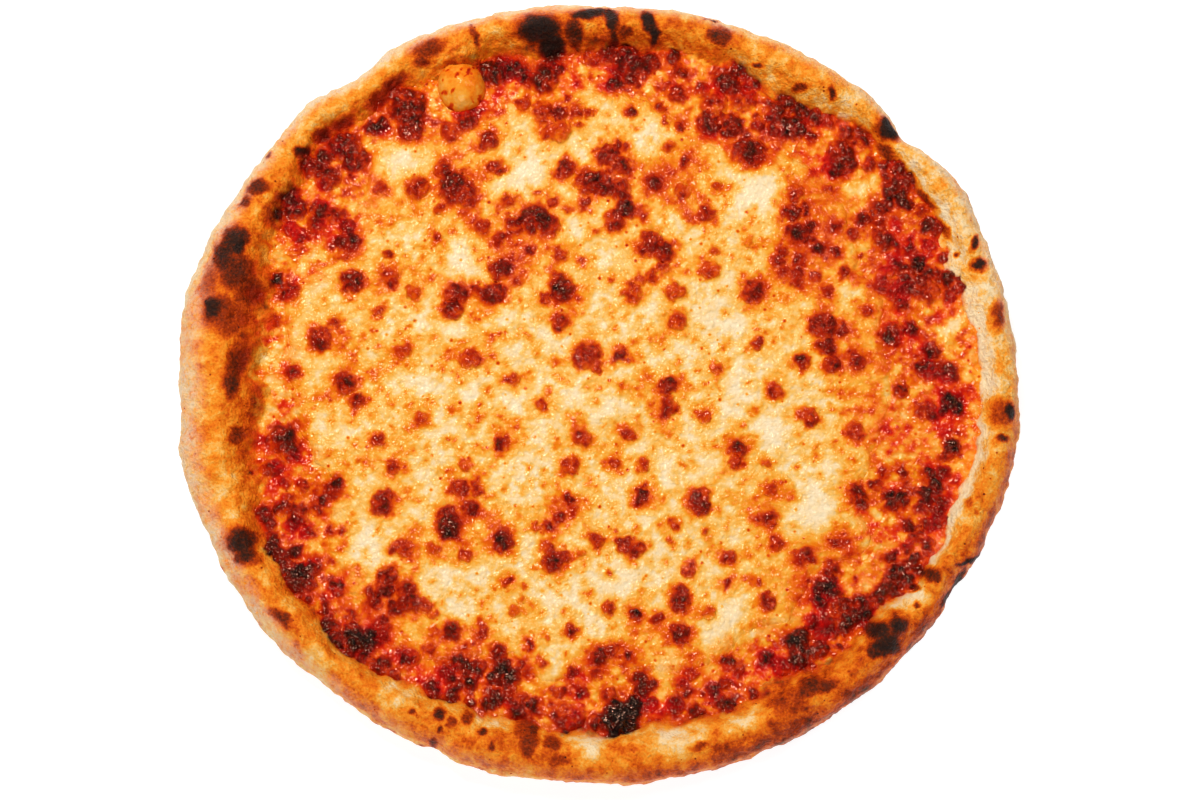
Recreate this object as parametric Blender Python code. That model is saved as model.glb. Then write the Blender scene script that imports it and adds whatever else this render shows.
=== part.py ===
"""A whole cheese pizza, uncut, with a puffed and charred rim.

It lies flat on its underside with the cheese up, about 290 x 278 x 19 mm.
The pizza's middle is at the origin and its flat sole at Z = 0.
"""
import math

import bpy
from mathutils import Vector
from mathutils.geometry import delaunay_2d_cdt

MM = 0.001

# Outer edge of the rim seen from above, every ten degrees from +X, in mm
RIM_EDGE = [
    145, 145, 145.5, 147, 143.5, 144.5, 144, 143, 142.5, 142, 143, 145,
    145.5, 145.5, 146, 145.5, 147.5, 147, 144, 145, 143, 141.5, 140, 137.5,
    137, 137, 135.5, 135.5, 136, 136, 137, 137.5, 139, 139, 141.5, 144,
]
# Inner foot of the rim, where the sauce starts
RIM_FOOT = [
    132, 132, 132, 135, 135, 132, 128, 130, 127, 126, 126, 132,
    135, 134, 135, 130, 128, 126, 125, 129, 130, 127, 126, 126,
    122, 120, 120, 120, 119, 119, 119, 124, 124, 128, 128, 130,
]
# Edge of the baked cheese
CHEESE_EDGE = [
    100, 101, 103, 103, 110, 111, 105, 101, 107, 112, 110, 108,
    111, 119, 110, 103, 114, 110, 107, 102, 98, 108, 111, 113,
    109, 98, 102, 96, 99, 103, 99, 102, 97, 107, 95, 98,
]
# Small dents and corners on the outer edge: angle, depth in mm, spread in degrees
RIM_DENTS = [(41.5, -2.2, 2.5), (126, -1.8, 3.0), (134.5, 1.8, 3.0), (246, -1.8, 2.0), (330, -1.0, 3.0)]

# Heights above the sole, in mm
FLOOR_TOP = 4.0
SAUCE_BOTTOM = 4.3
SAUCE_UNDER_CHEESE = 5.5
CHEESE_BOTTOM = 5.8
SAUCE_TOP = 7.3
CHEESE_TOP = 8.3
RIM_BELLY = 5.6
RIM_FOOT_TOP = 7.6

# The rim is taller where it is wider
RIM_LEAST_HEIGHT = 9.6
RIM_HEIGHT_PER_WIDTH = 0.42
CREST_SHARE = 0.46
CREST_WAVES = [(3, 0.5), (5, 0.45), (8, 0.4), (13, 0.3)]
INNER_SLOPE = 1.2

# The sole curls up towards the rim: inset from the edge and height, in mm
SOLE_CURL = [(9.5, 0.0), (4.3, 0.35), (1.0, 2.5)]

# Humps on the rim: x, y, radius, height in mm
RIM_HUMPS = [
    (-49, 116, 11, 7.0),
    (-21, 131, 10, 1.6),
    (78, 108, 10, 1.6),
    (-123, -51, 8, 2.6),
    (97, -84, 9, 2.2),
    (-126, 53, 12, 1.2),
    (118, -63, 8, 1.5),
    (-25, -118, 6, 1.8),
    (-66, -108, 9, 1.2),
    (129, 42, 9, -1.0),
    (123, -57, 4, -2.2),
    (-58, -125, 7, -1.6),
]

# Large blisters of browned cheese: x, y, radius in mm
CHEESE_BLISTERS = [
    (-50, 75, 6.5), (-64, 75, 4.2), (-23, 64, 6), (-18, 62, 4.5), (-30, 62, 4),
    (-35, 45, 4), (-50, 36, 4.5), (-37, 37, 4), (-13, 38, 5), (-86, 41, 4.5),
    (17, 55, 5), (22, 50, 4), (14, 42, 3.5), (25, 38, 3.5), (-3, 77, 6),
    (7, 74, 4.5), (9, 67, 4), (5, 62, 4), (37, 66, 3.5), (3, 87, 5),
    (-12, 82, 4), (-15, 96, 5), (-20, 103, 4), (-39, 92, 3.8), (-55, 82, 4),
    (68, 73, 4), (67, 65, 4.5), (69, 58, 4.5), (52, 88, 6), (53, 37, 5),
    (77, 23, 6), (-5, 14, 5), (23, 1, 4.5), (-88, 4, 4.5), (-97, 21, 4.5),
    (-74, -39, 5), (-53, -45, 5.5), (-43, -34, 4.5), (-33, -51, 4.5), (-16, -58, 5),
    (35, -38, 4.8), (14, -36, 3.5), (10, -53, 4.8), (27, -72, 5), (27, -84, 4.2),
    (-50, -83, 4), (-72, -65, 5), (-66, -71, 6), (57, -72, 3.8), (69, -57, 4.3),
    (79, -60, 3.8), (58, -45, 4), (46, -18, 4), (-7, -15, 4), (78, 9, 4),
]

# Large blisters of the sauce ring: x, y, radius in mm
SAUCE_BLISTERS = [
    (-88, 89, 8), (-66, 99, 6), (-95, 79, 5.5), (-108, 71, 6), (-115, 65, 4.5), (-99, 64, 5),
    (-38, 116, 6), (-20, 116, 6), (27, 120, 4), (29, 110, 4.5), (43, 115, 5), (41, 105, 5),
    (51, 116, 4.5), (66, 107, 5), (69, 99, 6), (84, 88, 6.5), (104, 77, 5.5), (106, 69, 5),
    (114, 61, 5), (110, 48, 4.5), (105, 39, 5.5), (121, 41, 5), (120, 8, 5), (121, -3, 4.5),
    (112, -6, 4.5), (121, -19, 5), (113, -34, 5.5), (103, -36, 4.5), (107, -46, 4.5),
    (111, -53, 4.5), (101, -62, 5), (96, -70, 4.5), (78, -70, 5.5), (84, -80, 5),
    (67, -88, 5), (69, -95, 4.5), (58, -93, 4), (44, -109, 5), (26, -107, 5),
    (12, -101, 5), (9, -111, 6.5), (-9, -112, 5.5), (-25, -107, 4), (-36, -106, 5.5),
    (-45, -98, 5), (-51, -104, 4.5), (-76, -94, 5), (-83, -86, 6), (-91, -83, 5),
    (-103, -63, 5), (-106, -56, 5.5), (-115, -53, 4.5), (-105, -41, 5.5), (-112, -26, 5),
    (-122, -33, 5), (-111, -15, 6), (-98, -71, 4),
]
BLISTER_RISE = 0.42

# Mesh density
COLUMNS = 180
OUTER_STEPS = 5
INNER_STEPS = 4
CHEESE_SPACING = 8.0
SAUCE_SPACING = 6.5
BLISTER_RINGS = [(0.55, 6), (1.02, 8)]
LEAST_SPACING = 1.3
EDGE_CLEAR = 2.2

# Gaps between the layers and the rounding of their edges, in mm
RIM_GAP = 0.6
CHEESE_GAP = 0.5
SAUCE_BANK = 1.0
EDGE_ROUNDING = 2.0
EDGE_THICKNESS_SHARE = 0.45

CRUST_COLOUR = (0.70, 0.36, 0.13, 1)
SAUCE_COLOUR = (0.42, 0.035, 0.012, 1)
CHEESE_COLOUR = (0.88, 0.60, 0.24, 1)


def ring_value(values, angle):
    """Smooth value at an angle in degrees from values evenly spread round the circle."""
    step = 360 / len(values)
    place = (angle % 360) / step
    index = int(place)
    t = place - index
    a, b, c, d = (values[(index + k) % len(values)] for k in (-1, 0, 1, 2))
    bend = (-a + 3 * b - 3 * c + d) * t ** 3 + (2 * a - 5 * b + 4 * c - d) * t ** 2
    return 0.5 * (bend + (c - a) * t + 2 * b)


def turn_between(a, b):
    """Smallest turn in degrees from one angle to another."""
    return (a - b + 180) % 360 - 180


def rim_edge(angle):
    dents = sum(depth * math.exp(-(turn_between(angle, at) / spread) ** 2) for at, depth, spread in RIM_DENTS)
    return ring_value(RIM_EDGE, angle) + dents


def rim_foot(angle):
    return ring_value(RIM_FOOT, angle)


def cheese_edge(angle):
    return ring_value(CHEESE_EDGE, angle)


def crest_height(angle):
    """Height of the rim's crest, with slow waves round the pizza."""
    width = rim_edge(angle) - rim_foot(angle)
    waves = sum(size * math.sin(math.radians(angle) * count + count) for count, size in CREST_WAVES)
    return RIM_LEAST_HEIGHT + RIM_HEIGHT_PER_WIDTH * width + waves


def on_circle(radius, angle):
    turn = math.radians(angle)
    return radius * math.cos(turn), radius * math.sin(turn)


def dome(distance, radius):
    """Round hump that is 1 at its middle and 0 at its radius."""
    return max(0.0, 1 - (distance / radius) ** 2)


def hump_height(x, y):
    return sum(h * dome(math.hypot(x - hx, y - hy), r) ** 1.5 for hx, hy, r, h in RIM_HUMPS)


def blister_height(x, y):
    """Highest of the blisters that cover a place."""
    blisters = CHEESE_BLISTERS + SAUCE_BLISTERS
    return max(BLISTER_RISE * r * dome(math.hypot(x - bx, y - by), r) for bx, by, r in blisters)


def rolling(x, y):
    """Gentle unevenness of the topping, in mm."""
    broad = 0.35 * math.sin(x / 9 + 1.3) * math.cos(y / 11 - 0.4)
    return broad + 0.3 * math.sin((x + 2 * y) / 19 + 2) * math.cos((2 * x - y) / 23)


def cheese_height(x, y):
    """Top of the cheese, rounded down towards its edge."""
    inside = cheese_edge(math.degrees(math.atan2(y, x))) - math.hypot(x, y)
    rounded = math.sqrt(min(1.0, max(0.0, inside / EDGE_ROUNDING)))
    share = EDGE_THICKNESS_SHARE + (1 - EDGE_THICKNESS_SHARE) * rounded
    thickness = share * (CHEESE_TOP - CHEESE_BOTTOM)
    return CHEESE_BOTTOM + thickness + rolling(x, y) + blister_height(x, y)


def sauce_height(x, y):
    """Top of the sauce: flat under the cheese, lumpy between cheese and rim."""
    outside = math.hypot(x, y) - cheese_edge(math.degrees(math.atan2(y, x)))
    if outside < CHEESE_GAP + SAUCE_BANK / 2:
        return SAUCE_UNDER_CHEESE
    return SAUCE_TOP + rolling(x, y) + blister_height(x, y)


def rim_section(angle):
    """Rim's cross-section as (radius, height) from the sole, over the crest, to the foot."""
    edge, foot, top = rim_edge(angle), rim_foot(angle), crest_height(angle)
    crest = edge - CREST_SHARE * (edge - foot)
    rows = [(edge - inset, height) for inset, height in SOLE_CURL]
    for step in range(OUTER_STEPS + 1):
        turn = math.radians(90 * step / OUTER_STEPS)
        rows.append((crest + (edge - crest) * math.cos(turn), RIM_BELLY + (top - RIM_BELLY) * math.sin(turn)))
    for step in range(1, INNER_STEPS + 1):
        turn = math.radians(90 * step / INNER_STEPS)
        above_foot = (top - RIM_FOOT_TOP) * max(0.0, math.cos(turn)) ** INNER_SLOPE
        rows.append((crest - (crest - foot) * math.sin(turn), RIM_FOOT_TOP + above_foot))
    return rows


def crust_point(radius, height, angle):
    """Place of a crust point, lifted by the humps where it faces up."""
    x, y = on_circle(radius, angle)
    lift = min(1.0, max(0.0, (height - RIM_BELLY) / 3))
    return Vector((x, y, height + lift * hump_height(x, y)))


def make_material(name, colour, roughness):
    material = bpy.data.materials.new(name)
    material.use_nodes = True
    shader = material.node_tree.nodes["Principled BSDF"]
    shader.inputs["Base Color"].default_value = colour
    shader.inputs["Roughness"].default_value = roughness
    shader.inputs["Metallic"].default_value = 0.0
    return material


def make_object(name, points, faces, material):
    """Mesh object from points in mm."""
    mesh = bpy.data.meshes.new(name)
    mesh.from_pydata([Vector(point) * MM for point in points], [], faces)
    mesh.materials.append(material)
    mesh.validate()
    made = bpy.data.objects.new(name, mesh)
    bpy.context.scene.collection.objects.link(made)
    return made


def make_crust():
    """Flat dough floor with the puffed rim round it, closed by a fan above and one below."""
    points = []
    sections = []
    for column in range(COLUMNS):
        angle = 360 * column / COLUMNS
        rows = rim_section(angle) + [(rim_foot(angle), FLOOR_TOP)]
        sections.append(range(len(points), len(points) + len(rows)))
        points += [crust_point(radius, height, angle) for radius, height in rows]
    faces = []
    for column in range(COLUMNS):
        here, following = sections[column], sections[(column + 1) % COLUMNS]
        for row in range(len(here) - 1):
            faces.append((here[row], following[row], following[row + 1]))
            faces.append((here[row], following[row + 1], here[row + 1]))
    under, above = len(points), len(points) + 1
    points += [Vector((0, 0, 0)), Vector((0, 0, FLOOR_TOP))]
    for column in range(COLUMNS):
        here, following = sections[column], sections[(column + 1) % COLUMNS]
        faces.append((under, following[0], here[0]))
        faces.append((above, here[-1], following[-1]))
    return make_object("crust", points, faces, make_material("baked dough", CRUST_COLOUR, 0.75))


def loop_points(radius_at):
    """Closed line of points, one for each column, at a radius given for each angle."""
    return [on_circle(radius_at(360 * column / COLUMNS), 360 * column / COLUMNS) for column in range(COLUMNS)]


def between(x, y, inside, outside):
    """True for a place between two closed lines and well clear of both."""
    radius, angle = math.hypot(x, y), math.degrees(math.atan2(y, x))
    return inside(angle) + EDGE_CLEAR < radius < outside(angle) - EDGE_CLEAR


def lattice(reach, spacing):
    """Triangular lattice of points over the pizza."""
    row_step = spacing * math.sqrt(3) / 2
    rows = int(reach / row_step)
    for row in range(-rows, rows + 1):
        shift = spacing / 2 if row % 2 else 0.0
        for column in range(-rows - 1, rows + 2):
            yield column * spacing + shift, row * row_step


def blister_points(blisters):
    """Middle, shoulder and foot of each blister."""
    for bx, by, radius in blisters:
        yield bx, by
        for share, spokes in BLISTER_RINGS:
            for spoke in range(spokes):
                dx, dy = on_circle(share * radius, 360 * (spoke + share) / spokes)
                yield bx + dx, by + dy


def inner_points(blisters, spacing, inside, outside):
    """Points between two closed lines: those of the blisters, then a lattice clear of them."""
    kept = []
    for x, y in blister_points(blisters):
        crowded = any(math.hypot(x - kx, y - ky) < LEAST_SPACING for kx, ky in kept)
        if between(x, y, inside, outside) and not crowded:
            kept.append((x, y))
    for x, y in lattice(max(RIM_EDGE), spacing):
        covered = any(math.hypot(x - bx, y - by) < r + LEAST_SPACING for bx, by, r in blisters)
        if between(x, y, inside, outside) and not covered:
            kept.append((x, y))
    return kept


def triangles(points, lines):
    """Triangles over the points inside the outermost closed line, turned to face up."""
    edges = []
    for line in lines:
        edges += [(line[k], line[(k + 1) % len(line)]) for k in range(len(line))]
    flat = [Vector(point) for point in points]
    made, _, faces, origin, _, _ = delaunay_2d_cdt(flat, edges, [], 1, 1e-5)
    names = [sources[0] for sources in origin]
    result = []
    for face in faces:
        a, b, c = (names[k] for k in face)
        ab, ac = flat[b] - flat[a], flat[c] - flat[a]
        result.append((a, b, c) if ab.x * ac.y - ab.y * ac.x > 0 else (a, c, b))
    return result


def make_sheet(name, border, inner_loops, inner, underside, height_at, material):
    """Closed layer with a flat underside, an upright edge and a shaped top."""
    flat = list(border)
    lines = [range(len(border))]
    for loop in inner_loops:
        lines.append(range(len(flat), len(flat) + len(loop)))
        flat += loop
    flat += inner
    top_faces = triangles(flat, lines)
    points = [Vector((x, y, height_at(x, y))) for x, y in flat]
    base = len(points)
    points += [Vector((x, y, underside)) for x, y in border]
    faces = list(top_faces)
    faces += [(base + a, base + c, base + b) for a, b, c in triangles(border, [range(len(border))])]
    for k in range(len(border)):
        following = (k + 1) % len(border)
        faces.append((k, base + k, base + following))
        faces.append((k, base + following, following))
    return make_object(name, points, faces, material)


def make_sauce():
    """Tomato sauce over the dough floor, lumpy where it shows round the cheese."""
    def border_radius(angle):
        return rim_foot(angle) - RIM_GAP

    def low_radius(angle):
        return cheese_edge(angle) + CHEESE_GAP

    def high_radius(angle):
        return low_radius(angle) + SAUCE_BANK

    loops = [loop_points(low_radius), loop_points(high_radius)]
    inner = inner_points(SAUCE_BLISTERS, SAUCE_SPACING, high_radius, border_radius)
    material = make_material("tomato sauce", SAUCE_COLOUR, 0.3)
    make_sheet("tomato_sauce", loop_points(border_radius), loops, inner, SAUCE_BOTTOM, sauce_height, material)


def make_cheese():
    """Sheet of melted cheese with its browned blisters."""
    def no_hole(angle):
        return -EDGE_CLEAR - 1

    def shoulder_radius(angle):
        return cheese_edge(angle) - EDGE_ROUNDING

    border, shoulder = loop_points(cheese_edge), loop_points(shoulder_radius)
    inner = inner_points(CHEESE_BLISTERS, CHEESE_SPACING, no_hole, shoulder_radius)
    material = make_material("melted cheese", CHEESE_COLOUR, 0.4)
    make_sheet("melted_cheese", border, [shoulder], inner, CHEESE_BOTTOM, cheese_height, material)


def centre_on_origin(objects):
    """Move the meshes so that the pizza's box is centred on the origin."""
    xs = [vertex.co.x for vertex in bpy.data.objects["crust"].data.vertices]
    ys = [vertex.co.y for vertex in bpy.data.objects["crust"].data.vertices]
    shift = Vector(((min(xs) + max(xs)) / 2, (min(ys) + max(ys)) / 2, 0))
    for made in objects:
        for vertex in made.data.vertices:
            vertex.co -= shift


def main():
    for thing in list(bpy.data.objects):
        bpy.data.objects.remove(thing)
    make_crust()
    make_sauce()
    make_cheese()
    centre_on_origin(bpy.data.objects)


main()
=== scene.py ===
"""Looks of a whole cheese pizza: floury charred rim, oily tomato sauce, blistered melted cheese.

Places on the pizza are in mm, +X to the photo's right and +Y to its top, as in the CAD part.
"""
import math

import bpy
import numpy as np
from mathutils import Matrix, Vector


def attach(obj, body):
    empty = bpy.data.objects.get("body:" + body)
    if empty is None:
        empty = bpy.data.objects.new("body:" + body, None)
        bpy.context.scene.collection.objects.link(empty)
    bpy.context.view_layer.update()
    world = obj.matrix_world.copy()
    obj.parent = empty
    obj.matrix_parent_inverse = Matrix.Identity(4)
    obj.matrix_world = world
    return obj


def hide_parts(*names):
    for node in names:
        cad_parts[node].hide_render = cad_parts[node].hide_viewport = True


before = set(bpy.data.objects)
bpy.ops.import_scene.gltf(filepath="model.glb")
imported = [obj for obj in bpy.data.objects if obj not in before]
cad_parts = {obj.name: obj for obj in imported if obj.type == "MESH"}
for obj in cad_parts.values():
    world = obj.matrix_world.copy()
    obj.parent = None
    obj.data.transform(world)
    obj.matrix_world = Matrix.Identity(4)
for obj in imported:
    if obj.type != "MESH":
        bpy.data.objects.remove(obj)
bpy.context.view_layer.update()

MM = 0.001

# Sizes of the pizza, in mm

# Distances from the middle, every ten degrees from +X
RIM_EDGE = [
    145, 145, 145.5, 147, 143.5, 144.5, 144, 143, 142.5, 142, 143, 145,
    145.5, 145.5, 146, 145.5, 147.5, 147, 144, 145, 143, 141.5, 140, 137.5,
    137, 137, 135.5, 135.5, 136, 136, 137, 137.5, 139, 139, 141.5, 144,
]
RIM_FOOT = [
    132, 132, 132, 135, 135, 132, 128, 130, 127, 126, 126, 132,
    135, 134, 135, 130, 128, 126, 125, 129, 130, 127, 126, 126,
    122, 120, 120, 120, 119, 119, 119, 124, 124, 128, 128, 130,
]
CHEESE_EDGE = [
    100, 101, 103, 103, 110, 111, 105, 101, 107, 112, 110, 108,
    111, 119, 110, 103, 114, 110, 107, 102, 98, 108, 111, 113,
    109, 98, 102, 96, 99, 103, 99, 102, 97, 107, 95, 98,
]
# Dents and bulges of the outline: angle in degrees, depth in mm, spread in degrees
RIM_DENTS = [(41.5, -2.2, 2.5), (126, -1.8, 3.0), (134.5, 1.8, 3.0), (246, -1.8, 2.0), (330, -1.0, 3.0)]
FLOOR_TOP = 4.0
SAUCE_BOTTOM = 4.3
SAUCE_UNDER_CHEESE = 5.5
CHEESE_BOTTOM = 5.8
SAUCE_TOP = 7.3
CHEESE_TOP = 8.3
RIM_BELLY = 5.6
APRON_END = 6.9
RIM_LEAST_HEIGHT = 9.6
RIM_HEIGHT_PER_WIDTH = 0.42
CREST_SHARE = 0.46
# Waves of the crest: how many go round, and their height
CREST_WAVES = [(3, 0.5), (5, 0.45), (8, 0.4), (13, 0.3)]
SOLE_CURL = 9.5
BLISTER_RISE = 0.42
HALO_WIDTH = 2.1
BUBBLE_MIDDLE = (-48.8, 112.6)
BUBBLE_RADIUS = 8.4
SPECK_COUNT = 900
SPECK_REACH = 104

# Humps and dips of the rim: x, y, radius, height
RIM_HUMPS = [
    (-49, 116, 11, 7.0), (-21, 131, 10, 1.6), (78, 108, 10, 1.6), (-123, -51, 8, 2.6),
    (97, -84, 9, 2.2), (-126, 53, 12, 1.2), (118, -63, 8, 1.5), (-25, -118, 6, 1.8),
    (-66, -108, 9, 1.2), (129, 42, 9, -1.0), (123, -57, 4, -2.2), (-58, -125, 7, -1.6),
]

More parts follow.
